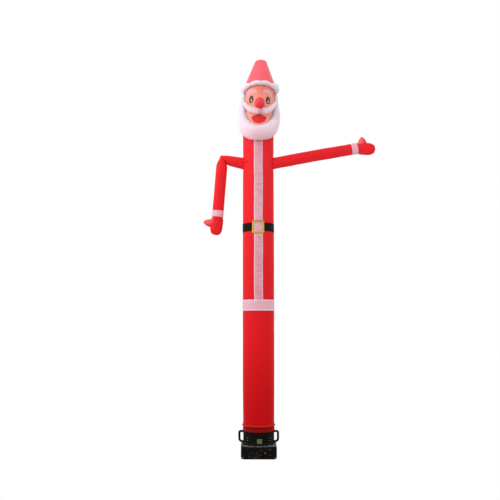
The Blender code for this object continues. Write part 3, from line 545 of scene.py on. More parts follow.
hardParts = {
    # The pale coat on the black plastic's tops is partly dust, partly a painted reflection
    "blackPlastic": {
        "color": (0.0018, 0.0020, 0.0014),
        "dustAndReflectionColor": (0.23, 0.218, 0.205),
        "dustAndReflection": 0.9,
        "roughness": 0.48,
        "specular": 0.02,
    },
    "switchPlastic": {
        "color": (0.0025, 0.0025, 0.0022),
        "dustAndReflectionColor": (0.1, 0.05, 0.05),
        "dustAndReflection": 0.1,
        "roughness": 0.3,
        "specular": 0.1,
    },
    "drumPlastic": {
        "color": (0.0030, 0.0030, 0.0022),
        "dustAndReflectionColor": (0.12, 0.115, 0.105),
        "dustAndReflection": 0.4,
        "roughness": 0.5,
        "specular": 0.04,
    },
    "screwSteel": {
        "color": (0.50, 0.51, 0.50),
        "dustAndReflectionColor": (0.3, 0.3, 0.3),
        "dustAndReflection": 0.1,
        "roughness": 0.35,
    },
    "dullSteel": {
        "color": (0.30, 0.32, 0.32),
        "dustAndReflectionColor": (0.08, 0.08, 0.08),
        "dustAndReflection": 0.2,
        "roughness": 0.45,
    },
    "darkSteel": {
        "color": (0.115, 0.118, 0.116),
        "dustAndReflectionColor": (0.06, 0.06, 0.06),
        "dustAndReflection": 0.2,
        "roughness": 0.45,
    },
}


def moulded(tree, color, dustAndReflectionColor, dustAndReflection, roughness):
    wires = {"Color": rgb(*color), "Dust And Reflection Color": rgb(*dustAndReflectionColor), "Dust And Reflection": dustAndReflection, "Roughness": roughness}
    return placedGroup(tree, plasticGroup, wires)


def hardMaterial(name, metallic=0.0):
    values = dict(hardParts[name])
    made, tree, shader = startMaterial(name, values.pop("specular", 0.5))
    shader.inputs["Metallic"].default_value = metallic
    body = moulded(tree, **values)
    wireUp(tree, shader, body["Color"], body["Roughness"], body["Height"], 0.18, 0.0005)
    return made


# Painted shade: the red cloth darkens towards the foot
redWeave = {"mottle": 0.25, "roughness": 0.44, "specular": 0.03, "paintedShade": (0.3, 4.6)}
redNylon = nylon("redNylon", "red", **redWeave)


def tubeNylon():
    # The same cloth, with painted shade low on the tube, on the bead, in the groove and at the skirt's hem
    made = nylon("tubeNylon", "red", **redWeave)
    tree, base = made.node_tree, colorPlug(made)
    rise = split(tree, objectPlace(tree))[2]
    low = times(tree, ramped(tree, rise, 1.75, 0.45), 0.60)
    tone = mixed(tree, low, base.links[0].from_socket, rgb(*cloths["skirt"]["low"]))
    foot = levels["foot"]
    for start, full, key in ((0.093, 0.088, "bead"), (0.070, 0.066, "groove"), (0.056, 0.048, "hem")):
        share = ramped(tree, rise, foot + start, foot + full)
        tone = mixed(tree, share, tone, rgb(*cloths["skirt"][key]))
    tree.links.new(tone, base)
    return made


def mittenNylon(name, thumb):
    # The same cloth, with a painted highlight that makes it paler over the thumb
    made = nylon(name, "red", **redWeave)
    tree, base = made.node_tree, colorPlug(made)
    wires = {0: objectPlace(tree), 1: (thumb[0], 0.0, thumb[1])}
    away = node(tree, "VectorMath", wires, operation="DISTANCE").outputs["Value"]
    share = times(tree, ramped(tree, away, 0.120, 0.040), thumb[2])
    tree.links.new(mixed(tree, share, base.links[0].from_socket, rgb(*cloths["thumb"]["color"])), base)
    return made


# Paler than the tube's red: partly the hat's own cloth, partly painted light from above
paleRedNylon = nylon("paleRedNylon", "paleRed", mottle=0.4, roughness=0.40, specular=1.0)
whiteNylon = nylon("whiteNylon", "white", mottle=0.35, roughness=0.6, glow=1.0)
# Its lower part is pinker: painted shade and painted red reflection from the tube
beardNylon = nylon("beardNylon", "white", mottle=0.30, roughness=0.6, paintedShade=(4.74, 4.93), glow=1.0)


def moustacheMaterial():
    # White cloth, pinker at the middle under the nose: painted shade
    made = nylon("moustacheNylon", "moustache", mottle=0.5, roughness=0.6, glow=1.0)
    tree, base = made.node_tree, colorPlug(made)
    middle = ramped(tree, positive(tree, clothLengths(tree)[1]), 0.075, 0.0)
    pink = rgb(*cloths["moustache"]["middle"])
    tree.links.new(mixed(tree, times(tree, middle, 0.8), base.links[0].from_socket, pink), base)
    return made


cuffNylon = nylon("cuffNylon", "cuff", mottle=0.6, roughness=0.6)
# Its lower part is darker: painted shade
noseNylon = nylon("noseNylon", "nose", roughness=0.36, specular=0.4, paintedShade=(5.19, 5.26), glow=0.5)
# Painted shade darkens the placket towards its top, under the beard
placketNylon = bandNylon(
    "placketNylon", "placket", 0.132, 0.013, mottle=0.75, paintedCreaseShade=0.42, sides=(0.7, 0.45), paintedShade=(4.95, 4.1)
)
hemNylon = bandNylon("hemNylon", "hem", 0.161, 0.016, specular=0.4, paintedCreaseShade=0.22, sides=(1.0, 0.8))
beltNylon = bandNylon("beltNylon", "belt", 0.129, 0.008, specular=0.06)
blackPlastic = hardMaterial("blackPlastic")
screwSteel = hardMaterial("screwSteel", metallic=1.0)
dullSteel = hardMaterial("dullSteel", metallic=1.0)
darkSteel = hardMaterial("darkSteel", metallic=1.0)


# The body tube and the bands sewn on it

tube = {
    "length": 4.477,
    "radius": 0.2375,
    "footRadius": 0.2285,
    "footBlend": 0.85,
    "overlap": 0.087,  # of the skirt on the drum
    "columns": 240,
    "rows": (  # from, to and step up the tube, closer at the foot and at the chest's fold
        (0, 0.15, 0.0035),
        (0.15, 3.92, 0.0155),
        (3.92, 4.16, 0.0055),
    ),
    "topRows": 24,
    "profile": (  # height above the foot, and radius, from the skirt's edge over the bead
        (-0.1, 0.2352), (0.000, 0.2352), (0.010, 0.2346), (0.014, 0.2330), (0.045, 0.2318),
        (0.060, 0.2304), (0.0655, 0.2312), (0.0690, 0.2410), (0.077, 0.2448), (0.086, 0.2435),
        (0.095, 0.2340), (0.102, 0.2304), (0.150, 0.2298),
    ),
    "lining": (  # radius and height of the skirt's inside, from its edge up to the drum's rim
        (0.2330, -0.0004), (0.2296, 0.0), (0.2293, 0.0600), (0.2300, 0.0665), (0.2394, 0.0708),
        (0.2399, 0.0860), (0.2300, 0.0885),
    ),
    "slack": ((0.0013, 0.75, 3), (0.0004, 0.16, 4)),
    "gatherSpacing": 0.026,
    "beadGathers": (0.0014, 0.030, 5),  # depth, reach and seed
    "topGathers": (0.0022, 0.060, 10),
    "backSeam": (0.030, 0.0011, 0.016, 12),
    "besidePlacket": (0.045, 0.0016, 0.030, 14),
    "seamSpan": 4.5,  # metres up the tube before a seam's gathers repeat
    "armSeam": 0.092,  # radius of the seam round an arm's root
    "fold": {  # its ends are metres round from the front, and up from the foot
        "start": (-0.266, 3.992),
        "end": (-0.146, 4.008),
        "depth": 0.0150,
        "ridge": 0.0080,
    },
}

bands = {
    "hem": {
        "low": 1.749,
        "high": 1.910,
        "lift": 0.0011,
        "thick": 0.0016,
        "pucker": 0.0016,
        "spacing": 0.035,
    },
    "belt": {
        "low": 2.9295,
        "high": 3.0585,
        "lift": 0.0008,
        "thick": 0.0016,
        "pucker": 0.0009,
        "spacing": 0.060,
    },
    "placket": {"low": 1.9103, "high": 4.300, "lift": 0.0006, "thick": 0.0015, "width": 0.132},
}


def armRootPuckers(angle, height, side):
    # Pulls and puckers round the seam where an arm leaves the tube
    across = (angle - side * math.pi / 2) * tube["radius"]
    up = height - (levels["shoulder"] - levels["foot"])
    reach = np.hypot(across * 0.92, up) - tube["armSeam"]
    turn = np.arctan2(up, across)
    dent = -0.0045 * bump(reach - 0.012, 0.035)
    folds = 0.0022 * np.sin(turn * 13 + 1.2 * np.sin(turn * 4)) * np.exp(-np.abs(reach) / 0.035)
    return (dent + folds) * smooth(-0.09, -0.02, reach)


def shoulderFold(angle, height):
    # One short fold runs up from the bent arm's seam, with a ridge above it
    fold = tube["fold"]
    (startX, startY), (endX, endY) = fold["start"], fold["end"]
    dx, dy = endX - startX, endY - startY
    size = math.hypot(dx, dy)
    x, y = angle * tube["radius"] - startX, height - startY
    along = (x * dx + y * dy) / size
    aside = (x * -dy + y * dx) / size
    ends = smooth(-0.02, 0.01, along) * (1 - smooth(size * 0.55, size, along))
    return ends * (fold["depth"] * bump(aside, 0.009) - fold["ridge"] * bump(aside - 0.020, 0.012))


def tubeSkin(angle, height):
    # The cloth's radius at an angle from the front and a height above the foot
    radius = tube["radius"]
    settling = np.exp(-np.maximum(height - tube["overlap"], 0) / tube["footBlend"])
    swell = radius - (radius - tube["footRadius"]) * settling
    low = eased(tube["profile"], height, 0.0025)
    skin = low + (swell - low) * smooth(0.102, 0.150, height)
    spot = placed(radius, angle, height)
    skin = skin + smooth(0.11, 0.40, height) * uneven(spot, tube["slack"])
    # Gathers above the bead, at both edges of the hem band and the belt, and under the head
    arc = tube["gatherSpacing"] / radius
    drawn = gathers(angle, height - 0.108, wholeTurn, arc, *tube["beadGathers"])
    skin = skin + drawn * smooth(0.096, 0.12, height)
    seams = (
        (bands["hem"]["low"], 0.0011, 6),
        (bands["hem"]["high"], 0.0012, 7),
        (bands["belt"]["low"], 0.0008, 8),
        (bands["belt"]["high"], 0.0008, 9),
    )
    for seam, depth, seed in seams:
        skin = skin + gathers(angle, height - seam, wholeTurn, arc, depth, 0.040, seed)
    skin = skin + gathers(angle, height - tube["length"], wholeTurn, arc, *tube["topGathers"])
    back = (math.pi - np.abs(angle)) * radius
    rows = gathers(height + 0 * angle, back, tube["seamSpan"], *tube["backSeam"])
    skin = skin + smooth(0.12, 0.2, height) * (rows - 0.0022 * bump(back, 0.004))
    for side in (-1, 1):
        skin = skin + armRootPuckers(angle, height, side)
    # The cloth beside the placket is drawn in by its seams
    beside = np.abs(angle) * radius - bands["placket"]["width"] / 2
    drawn = gathers(height + 0 * angle, np.maximum(beside, 0), tube["seamSpan"], *tube["besidePlacket"])
    skin = skin + drawn * smooth(1.93, 2.1, height) * smooth(-0.04, 0, beside)
    skin = skin - shoulderFold(angle, height)
    # The skirt's hem hangs a little unevenly
    skirt = 1 - smooth(0.02, 0.055, height)
    return skin + skirt * 0.0011 * (waves(spot, 0.20, 13) + 0.6)


def makeTube():
    angles = around(tube["columns"])
    steps = [np.arange(*rows) for rows in tube["rows"]]
    heights = np.concatenate([*steps, np.linspace(tube["rows"][-1][1], tube["length"], tube["topRows"])])
    grid, turn = np.meshgrid(heights, angles, indexing="ij")
    outer = placed(tubeSkin(turn, grid), turn, grid)
    inner = []
    for radius, height in reversed(tube["lining"]):
        inner.append(placed(np.full(len(angles), radius), angles, np.full(len(angles), height)))
    points = np.concatenate([np.array(inner), outer])
    points[..., 2] += levels["foot"]
    u = np.broadcast_to(angles * tube["radius"], points.shape[:2])
    piece = skinned("tubeCloth", points, u, lengths(points, 0))
    return dress(piece, ["body_tube", "tube_skirt"], tubeNylon())


def crossLoop(half, count, sides):
    # Round a thin band's section: (place across, share of its thickness, puff), outer side first
    across = np.linspace(-half, half, count)
    outer = [(x, 1.0, 1.0) for x in across]
    edge = [(half, 0.5, 0.0)]
    inner = [(x, 0.0, 0.0) for x in across[::-sides]]
    return np.array(outer + edge + inner + [(-half, 0.5, 0.0)])


def makeRoundBand(name, values, start, end, nodes, look, seed):
    # A band round the tube from one angle to another, or all the way
    whole = end - start > wholeTurn - 0.001
    count = int((end - start) * tube["radius"] / 0.006)
    angles = np.linspace(start, end, count, endpoint=not whole)
    width = values["high"] - values["low"]
    loop = crossLoop(width / 2, 22, 7)
    middle = (values["low"] + values["high"]) / 2
    across, turn = np.meshgrid(loop[:, 0], angles)
    share = np.broadcast_to(loop[:, 1], across.shape)
    puff = np.broadcast_to(loop[:, 2], across.shape)
    height = middle + across
    side = width / 2 - np.abs(across)
    arc = values["spacing"] / tube["radius"]
    wrinkle = gathers(turn, side, wholeTurn, arc, values["pucker"], 0.030, seed)
    wrinkle = wrinkle + 0.0005 * waves(placed(tube["radius"], turn, height), 0.09, seed + 1)
    skin = tubeSkin(turn, height) + values["lift"] + values["thick"] * share
    skin = skin + puff * (np.maximum(wrinkle, -0.0006) + 0.0006) * smooth(0, 0.006, side)
    points = placed(skin, turn, height)
    points[..., 2] += levels["foot"]
    if whole:
        points = np.concatenate([points, points[:1]])
        turn = np.concatenate([turn, turn[:1] + wholeTurn])
        across = np.concatenate([across, across[:1]])
    piece = skinned(name, points, across, turn * tube["radius"])
    if whole:
        weldRing(piece, points.shape[1])
    return dress(piece, nodes, look)


def weldRing(piece, columns):
    # Joins a ring's last row to its first, and drops the end caps
    bm = bmesh.new()
    bm.from_mesh(piece.data)
    bm.verts.ensure_lookup_table()
    bmesh.ops.delete(bm, geom=list(bm.verts)[-2:], context="VERTS")
    bmesh.ops.remove_doubles(bm, verts=bm.verts, dist=1e-5)
    bm.to_mesh(piece.data)
    bm.free()
    piece.data.shade_smooth()


def makePlacket():
    values = bands["placket"]
    low, high = values["low"], values["high"]
    rows = np.linspace(low, high, int((high - low) / 0.0052))
    half = values["width"] / 2
    loop = crossLoop(half, 26, 8)
    across, height = np.meshgrid(loop[:, 0], rows)
    share = np.broadcast_to(loop[:, 1], across.shape)
    puff = np.broadcast_to(loop[:, 2], across.shape)
    side = half - np.abs(across)
    wander = 0.0016 * np.sin(height * 7.1 + 1) + 0.0010 * np.sin(height * 17.3)
    angle = (across + wander - 0.002) / tube["radius"]
    # Uneven gathers run across it, because it was sewn on slightly short
    spot = np.stack([across * 0.25, height], -1)
    ridges = 0.0028 * waves(spot, 0.062, 21, 9) + 0.0014 * waves(spot, 0.027, 22, 9)
    patches = 0.55 + 0.45 * waves(spot[..., 1:], 0.6, 23, 4)
    wrinkle = (ridges * np.clip(patches, 0.15, 1.2) + 0.0012) * smooth(0.0, 0.014, side)
    skin = tubeSkin(angle, height) + values["lift"] + values["thick"] * share + puff * np.maximum(wrinkle, 0)
    points = placed(skin, angle, height)
    points[..., 2] += levels["foot"]
    piece = skinned("placketCloth", points, across, height)
    return dress(piece, ["placket"], placketNylon)


buckle = {
    "middle": 2.994,
    "height": 0.194,
    "width": 0.182,
    "bar": 0.029,
    "puff": 0.0075,
    "lift": 0.0040,
    "round": 0.006,
    "aside": -0.0065,
}


def makeBuckle():
    # A flat padded ring: a rounded oblong path with a low domed section
    halfWide = (buckle["width"] - buckle["bar"]) / 2
    halfHigh = (buckle["height"] - buckle["bar"]) / 2
    corner = buckle["round"]
    path = []
    steps, barSteps = 8, 16
    for quarter in range(4):
        sideX = (1, -1, -1, 1)[quarter]
        sideY = (1, 1, -1, -1)[quarter]
        for step in range(steps + 1):
            turn = math.pi / 2 * (quarter + step / steps)
            x = sideX * (halfWide - corner) + corner * math.cos(turn)
            y = sideY * (halfHigh - corner) + corner * math.sin(turn)
            path.append((x, y, math.cos(turn), math.sin(turn)))
        nextX = (-1, -1, 1, 1)[quarter]
        nextY = (1, -1, -1, 1)[quarter]
        for step in range(1, barSteps):
            share = step / barSteps
            endX = nextX * (halfWide - corner) + corner * math.cos(turn)
            endY = nextY * (halfHigh - corner) + corner * math.sin(turn)
            path.append((x + (endX - x) * share, y + (endY - y) * share, math.cos(turn), math.sin(turn)))
    path = np.array(path)
    section = []
    for step in range(15):
        turn = math.pi * step / 14
        section.append((-math.cos(turn), math.sin(turn) ** 0.6))
    section += [(x, 0.0) for x in (0.6, 0.0, -0.6)]
    section = np.array(section)
    half = buckle["bar"] / 2
    out = path[:, None, 2:4] * section[None, :, :1] * half
    flat = path[:, None, :2] + out
    # The corners are square outside and inside, so a long normal is kept within the ring's bars
    flat[..., 0] = np.clip(flat[..., 0], -buckle["width"] / 2, buckle["width"] / 2)
    flat[..., 1] = np.clip(flat[..., 1], -buckle["height"] / 2, buckle["height"] / 2)
    angle = (flat[..., 0] + buckle["aside"]) / tube["radius"]
    height = buckle["middle"] + flat[..., 1]
    spot = placed(tube["radius"], angle, height)
    puff = buckle["puff"] * section[None, :, 1] * (1 + 0.10 * waves(spot, 0.05, 31))
    skin = tubeSkin(angle, height) + buckle["lift"] + puff
    points = placed(skin, angle, height)
    points[..., 2] += levels["foot"]
    points = np.concatenate([points, points[:1]])
    along = lengths(points, 0)
    across = np.broadcast_to(section[None, :, 0] * half, points.shape[:2])
    piece = skinned("buckleCloth", points, across, along)
    weldRing(piece, points.shape[1])
    return dress(piece, ["buckle"], buckleMaterial())


print("tube and bands")
makeTube()
makeRoundBand("hemCloth", bands["hem"], -math.pi, math.pi, ["hem_band"], hemNylon, 41)
gapAngle = (bands["placket"]["width"] / 2 + 0.0016) / tube["radius"]
makeRoundBand(
    "beltCloth", bands["belt"], gapAngle, wholeTurn - gapAngle, ["belt"], beltNylon, 43
)
makePlacket()
makeBuckle()


# Arms, cuffs and mittens

arms = {
    "columns": 104,
    "deep": 0.084,
    "right": {
        "degrees": 10.4,
        "length": 1.218,
        "bow": 0.005,
        "root": 0.0880,
        "wrist": 0.0850,
        "rootGathers": (0.34, 0.0026, 0.050, 51),
        "wristGathers": (0.34, 0.0024, 0.040, 52),
        "slack": ((0.0011, 0.34, 53), (0.0005, 0.08, 54)),
    },
    "left": {
        "degrees": 10.0,
        "root": 0.089,
        "elbow": 0.075,
        "pivot": (0.237, 0.030),  # out from the tube and down from the shoulder
        "fan": (  # degrees round the pivot, and how far the elbow reaches there
            (80, 0.150), (96, 0.151), (112, 0.160), (120, 0.176), (127, 0.193), (134, 0.170), (144, 0.157),
            (160, 0.162), (176, 0.168),
        ),
        "fanDegrees": (82, 174),
        "inside": 0.010,  # from the pivot to the inside of the bend
        "folds": (  # degrees round the pivot, width, height, share that goes all round, and its fall outwards
            (126, 4.2, -0.0280, 0.6, 1),
            (112, 6.0, 0.0110, 0.3, 1),
            (136, 6.0, 0.0060, 0.3, 1),
            (148, 6.0, -0.0060, 0, 1.5),
            (92, 4.0, -0.0045, 0, 2),
            (160, 5.0, -0.0045, 0, 2),
        ),
        "lean": 4.5,
        "length": 0.700,
        "radius": 0.0858,
        "rootGathers": (0.34, 0.0028, 0.050, 61),
        "wristGathers": (0.34, 0.0024, 0.045, 62),
        "slack": ((0.0011, 0.32, 63), (0.0005, 0.08, 64)),
    },
    "cuffLeft": {"length": 0.098, "radius": 0.0880},
    "cuffRight": {"length": 0.095, "radius": 0.0870},
    # A cuff's share of its radius along its length, and its gathers' spacing, depth and reach
    "cuffShape": ((-1, 0.955), (0, 0.955), (0.14, 1.0), (0.5, 1.015), (0.86, 1.0), (1, 0.955), (2, 0.955)),
    "cuffGathers": (0.30, 0.0022, 0.035),
    "seamGap": 0.0006,  # between an arm's end and its cuff
}


def heading(degrees):
    return np.array([math.cos(math.radians(degrees)), 0.0, math.sin(math.radians(degrees))])


def ringed(middles, directions, across, deep, turns):
    # Rows of section rings: each has a middle, a direction across it in degrees, and half sizes
    turn = np.asarray(turns)[None, :]
    radians = np.radians(directions)[:, None]
    line = across[:, None] * np.cos(turn)
    points = np.empty((len(middles), turn.shape[1], 3))
    points[..., 0] = middles[:, :1] + np.cos(radians) * line
    points[..., 1] = deep[:, None] * np.sin(turn)
    points[..., 2] = middles[:, 2:] + np.sin(radians) * line
    return points


def offOutward(points, middles, amount):
    # Moves a ring's points away from its middle
    away = points - middles[:, None, :]
    away /= np.linalg.norm(away, axis=-1, keepdims=True)
    return points + away * amount[..., None]


def wrinkled(values, points, s, turn, length):
    # What both arms share: gathers from each end, slack between them and the furrow at the wrist's seam
    shift = gathers(turn, s, wholeTurn, *values["rootGathers"])
    shift = shift + gathers(turn, length - s, wholeTurn, *values["wristGathers"])
    return shift + uneven(points, values["slack"]) - 0.003 * bump(length - s, 0.010)


def metTube(points, side, along, paintedShade):
    # Slides an arm's first rows along it until they meet the tube
    wall = side * np.sqrt((tube["radius"] - 0.0012) ** 2 - np.clip(points[0, :, 1], -0.2, 0.2) ** 2)
    slide = (wall - points[0, :, 0]) / along[0]
    return points + paintedShade[:, None, None] * slide[None, :, None] * along


def makeRightArm():
    values = arms["right"]
    direction, length = values["degrees"], values["length"]
    turns = ring(arms["columns"])
    share = np.linspace(0, 1, 190)
    radius = between(values["root"], values["wrist"], share)
    along = heading(direction)
    bow = values["bow"] * np.sin(math.pi * share)
    root = np.array([tube["radius"], 0.0, levels["shoulder"]])
    middles = root + share[:, None] * along * length + bow[:, None] * heading(direction + 90)
    points = ringed(middles, np.full(len(share), direction + 90), radius, radius, turns)
    s, turn = np.meshgrid(share * length, turns, indexing="ij")
    shift = wrinkled(values, points, s, turn, length)
    # Slack lies along its underside
    under = np.clip(-np.cos(turn), 0, 1) ** 2
    shift = shift + 0.0016 * under * waves(points * np.array([1, 3, 3]), 0.13, 55)
    points = metTube(offOutward(points, middles, shift), 1, along, 1 - smooth(0, 0.25, share))
    u = (turn - math.pi) * values["root"]
    return dress(skinned("armRightCloth", points, u, s), ["arm_right"], redNylon)


def leftArmPath():
    # Middles, directions across and half sizes down the bent arm, with the length run
    values = arms["left"]
    out = 180 - values["degrees"]
    inside = values["inside"]
    root = np.array([-tube["radius"], 0.0, levels["shoulder"]])
    pivot = root + np.array([-values["pivot"][0], 0.0, -values["pivot"][1]])
    last = pivot + heading(out - 90) * values["elbow"] - heading(out) * inside
    keys = []
    for share in np.linspace(0, 1, 12, endpoint=False):
        radius = values["root"] + (values["elbow"] + 0.002 - values["root"]) * share
        deep = between(values["root"], arms["deep"], share)
        keys.append((*between(root, last, share), out - 90, radius, deep))
    fanDegrees, fanReach = zip(*values["fan"])
    for degrees in np.linspace(*values["fanDegrees"], 24):
        half = (np.interp(degrees, fanDegrees, fanReach) - inside) / 2
        keys.append((*(pivot + heading(degrees) * (inside + half)), degrees, half, arms["deep"]))
    down = 270 - values["lean"]
    top = pivot + heading(down - 90) * values["radius"] + heading(down) * 0.020
    for share in np.linspace(0, 1, 14):
        middle = top + heading(down) * values["length"] * share
        keys.append((*middle, down - 90, values["radius"], arms["deep"]))
    keys = np.array(keys)
    steps = np.linalg.norm(np.diff(keys[:, :3], axis=0), axis=1) + 0.004
    run = np.concatenate([[0], np.cumsum(steps)])
    fine = np.linspace(0, run[-1], 230)
    rows = np.stack([np.interp(fine, run, keys[:, n]) for n in range(6)], 1)
    for _ in range(2):
        rows[2:-2] = (rows[:-4] + 2 * rows[1:-3] + 3 * rows[2:-2] + 2 * rows[3:-1] + rows[4:]) / 9
    return rows, fine


def makeLeftArm(rows, run):
    values = arms["left"]
    turns = ring(arms["columns"])
    middles = rows[:, :3]
    points = ringed(middles, rows[:, 3], rows[:, 4], rows[:, 5], turns)
    s, turn = np.meshgrid(run, turns, indexing="ij")
    degrees = rows[:, 3][:, None]
    shift = wrinkled(values, points, s, turn, run[-1])
    # The elbow folds along one deep crease, with smaller ones inside the bend
    facing = np.abs(np.sin(turn)) ** 0.6
    inward = 0.5 - 0.5 * np.cos(turn)
    for middle, width, height, allRound, fall in values["folds"]:
        reach = allRound + (1 - allRound) * inward**fall
        shift = shift + height * facing * bump(degrees - middle, width) * reach
    points = offOutward(points, middles, shift)
    points = metTube(points, -1, -heading(180 - values["degrees"]), 1 - smooth(0, 0.16, run))
    u = (turn - math.pi) * values["root"]
    return dress(skinned("armLeftCloth", points, u, s), ["arm_left"], redNylon)


def makeCuff(name, low, high, direction, radius, nodeName, seed):
    # A short white sleeve end between two drawn-in seams, with gathers from both
    length = np.linalg.norm(high - low)
    share = np.linspace(0, 1, 34)
    turns = ring(arms["columns"])
    middles = between(low, high, share[:, None])
    size = radius * eased(arms["cuffShape"], share, 0.06)
    points = ringed(middles, np.full(len(share), direction + 90), size, size, turns)
    s, turn = np.meshgrid(share * length, turns, indexing="ij")
    shift = gathers(turn, s, wholeTurn, *arms["cuffGathers"], seed)
    shift = shift + gathers(turn, length - s, wholeTurn, *arms["cuffGathers"], seed + 1)
    points = offOutward(points, middles, shift)
    return dress(skinned(name, points, (turn - math.pi) * radius, s), [nodeName], cuffNylon)


def softCopy(name, nodeName):
    # An even mesh over a solid, with its facets smoothed away
    start = bpy.data.objects.new(name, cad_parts[nodeName].data.copy())
    bpy.context.scene.collection.objects.link(start)
    remesh = start.modifiers.new("even mesh", "REMESH")
    remesh.mode = "VOXEL"
    remesh.voxel_size = mittens["voxel"]
    soften = start.modifiers.new("soften", "SMOOTH")
    soften.factor = 0.5
    soften.iterations = mittens["rounds"]
    graph = bpy.context.evaluated_depsgraph_get()
    mesh = bpy.data.meshes.new_from_object(start.evaluated_get(graph))
    bpy.data.objects.remove(start)
    mesh.shade_smooth()
    piece = shown(name, mesh)
    moved(piece, spots(piece) + normals(piece) * mittens["swell"])
    return piece


mittens = {
    "voxel": 0.0046,
    "swell": 0.0028,
    "rounds": 14,
    "slack": ((0.0014, 0.10), (0.0006, 0.04)),  # depth and size
    "outline": (0.17, 0.0028, 0.020),  # spacing, depth and reach of the gathers along the outline seam
    "wrist": (0.30, 0.0026, 0.040),
    "left": {
        # The thumb's painted highlight
        "thumb": (-0.762, 3.500, 0.62),  # its middle, and how much paler it is
        "creases": (  # start, end, depth and width in the XZ plane
            ((-0.705, 3.385), (-0.655, 3.440), 0.0060, 0.011),
            ((-0.700, 3.500), (-0.655, 3.480), 0.0045, 0.011),
            ((-0.640, 3.400), (-0.560, 3.420), 0.0030, 0.014),
            ((-0.690, 3.310), (-0.640, 3.330), 0.0030, 0.012),
        ),
    },
    "right": {
        "thumb": (1.549, 4.745, 0.90),
        "creases": (
            ((1.675, 4.712), (1.625, 4.640), 0.0075, 0.012),
            ((1.560, 4.700), (1.600, 4.668), 0.0050, 0.011),
            ((1.640, 4.600), (1.720, 4.580), 0.0030, 0.014),
            ((1.575, 4.560), (1.650, 4.570), 0.0035, 0.012),
        ),
    },
}


def makeMitten(name, nodeName, values, wrist, direction, seed):
    piece = softCopy(name, nodeName)
    points = spots(piece)
    away = normals(piece)
    flat = points[:, [0, 2]]
    front = np.abs(points[:, 1])
    # The outline seam draws in a narrow furrow, with short puckers across it
    low, high = flat.min(0), flat.max(0)
    middle = (low + high) / 2
    turn = np.arctan2(flat[:, 1] - middle[1], flat[:, 0] - middle[0])
    shift = -0.0030 * bump(points[:, 1], 0.006)
    shift = shift + gathers(turn, front, wholeTurn, *mittens["outline"], seed)
    for n, (depth, size) in enumerate(mittens["slack"]):
        shift = shift + depth * waves(points, size, seed + 1 + n)
    for start, end, depth, width in values["creases"]:
        start, end = np.array(start), np.array(end)
        line = end - start
        share = np.clip(((flat - start) @ line) / (line @ line), 0, 1)
        distance = np.linalg.norm(flat - start - share[:, None] * line, axis=1)
        shift = shift - depth * bump(distance, width) * smooth(0.005, 0.03, front)
    # Gathers at the wrist
    fromWrist = flat - wrist[[0, 2]]
    back = fromWrist @ direction[[0, 2]]
    side = fromWrist @ np.array([-direction[2], direction[0]])
    wristTurn = np.arctan2(points[:, 1], side)
    shift = shift + gathers(wristTurn, back, wholeTurn, *mittens["wrist"], seed + 3)
    moved(piece, points + away * shift[:, None])
    look = mittenNylon(name.replace("Cloth", "Nylon"), values["thumb"])
    return dress(piece, [nodeName], look)


print("arms")
leftRows, leftRun = leftArmPath()
makeRightArm()
makeLeftArm(leftRows, leftRun)
shoulder = np.array([tube["radius"], 0.0, levels["shoulder"]])
rightDegrees, leftDegrees = arms["right"]["degrees"], 270 - arms["left"]["lean"]
rightWrist = shoulder + heading(rightDegrees) * (arms["right"]["length"] + arms["seamGap"])
leftWrist = leftRows[-1, :3] + heading(leftDegrees) * arms["seamGap"]
rightEnd = rightWrist + heading(rightDegrees) * arms["cuffRight"]["length"]
leftEnd = leftWrist + heading(leftDegrees) * arms["cuffLeft"]["length"]
makeCuff("cuffRightCloth", rightWrist, rightEnd, rightDegrees, arms["cuffRight"]["radius"], "cuff_right", 71)
makeCuff("cuffLeftCloth", leftWrist, leftEnd, leftDegrees, arms["cuffLeft"]["radius"], "cuff_left", 73)
makeMitten("mittenRightCloth", "mitten_right", mittens["right"], rightEnd, heading(rightDegrees), 75)
makeMitten("mittenLeftCloth", "mitten_left", mittens["left"], leftEnd, heading(leftDegrees), 85)


# The head, hat, brim, beard, moustache and nose

head = {
    "turn": math.radians(1.8),
    "lean": 0.0355,
    "height": 0.750,
    "radius": 0.243,
    "columns": 200,
    "profile": (  # height above the neck, and radius
        (-1, 0.2360), (0, 0.2365), (0.05, 0.2405), (0.2, 0.2428), (0.55, 0.2430), (0.70, 0.2405),
        (0.75, 0.2375), (2, 0.2375),
    ),
    "slack": ((0.0008, 0.30, 91), (0.0003, 0.08, 92)),
    "backSeam": (0.030, 0.0010, 0.015, 93),
    "neckGathers": (0.12, 0.0020, 0.050, 94),
    "crownGathers": (0.12, 0.0020, 0.060, 95),
}

# The print on the face: metres round from the front, and metres up the cloth
face = {
    "hairStart": 0.385,  # where white cloth takes over
    "hairForward": 0.15,  # how much further forward that is behind the beard
    "brows": (  # middle, half sizes, side, and its lower edge with how much that dips outwards
        (-0.142, 0.574, 0.101, 0.079, -1.0, 0.578, 0.25),
        (0.122, 0.566, 0.095, 0.074, 1.0, 0.580, 0.55),
    ),
    "browColor": (0.80, 0.42, 0.43),
    "mouth": (-0.004, 0.205, 0.119, 0.107),
    "mouthTop": (-0.0046, 0.2445, 0.27, 0.36),  # where its two upper slopes meet, and how steep they are
    "mouthColors": ((0.74, 0.024, 0.036), (0.62, 0.014, 0.022)),  # low and high in it
    "eyes": ((-0.1411, 0.4834, -0.135, 0.464), (0.1318, 0.4687, 0.138, 0.448)),  # middle, and the glint's
    "eyeSize": (0.0405, 0.0590),
    "irisSize": (0.026, 0.042),
    "glintSize": (0.0082, 0.0150),
    "eyeColor": (0.012, 0.010, 0.011),
    "irisColor": (0.11, 0.105, 0.12),
    "glintColor": (0.86, 0.84, 0.92),
}


def onHead(points):
    # From the head's own frame to the object's: it leans, turns, and stands on the neck
    points = points.copy()
    points[..., 0] += head["lean"] * points[..., 2]
    cos, sin = math.cos(head["turn"]), math.sin(head["turn"])
    x = points[..., 0] * cos - points[..., 1] * sin
    y = points[..., 0] * sin + points[..., 1] * cos
    points[..., 0], points[..., 1] = x, y
    points[..., 2] += levels["neck"]
    return points


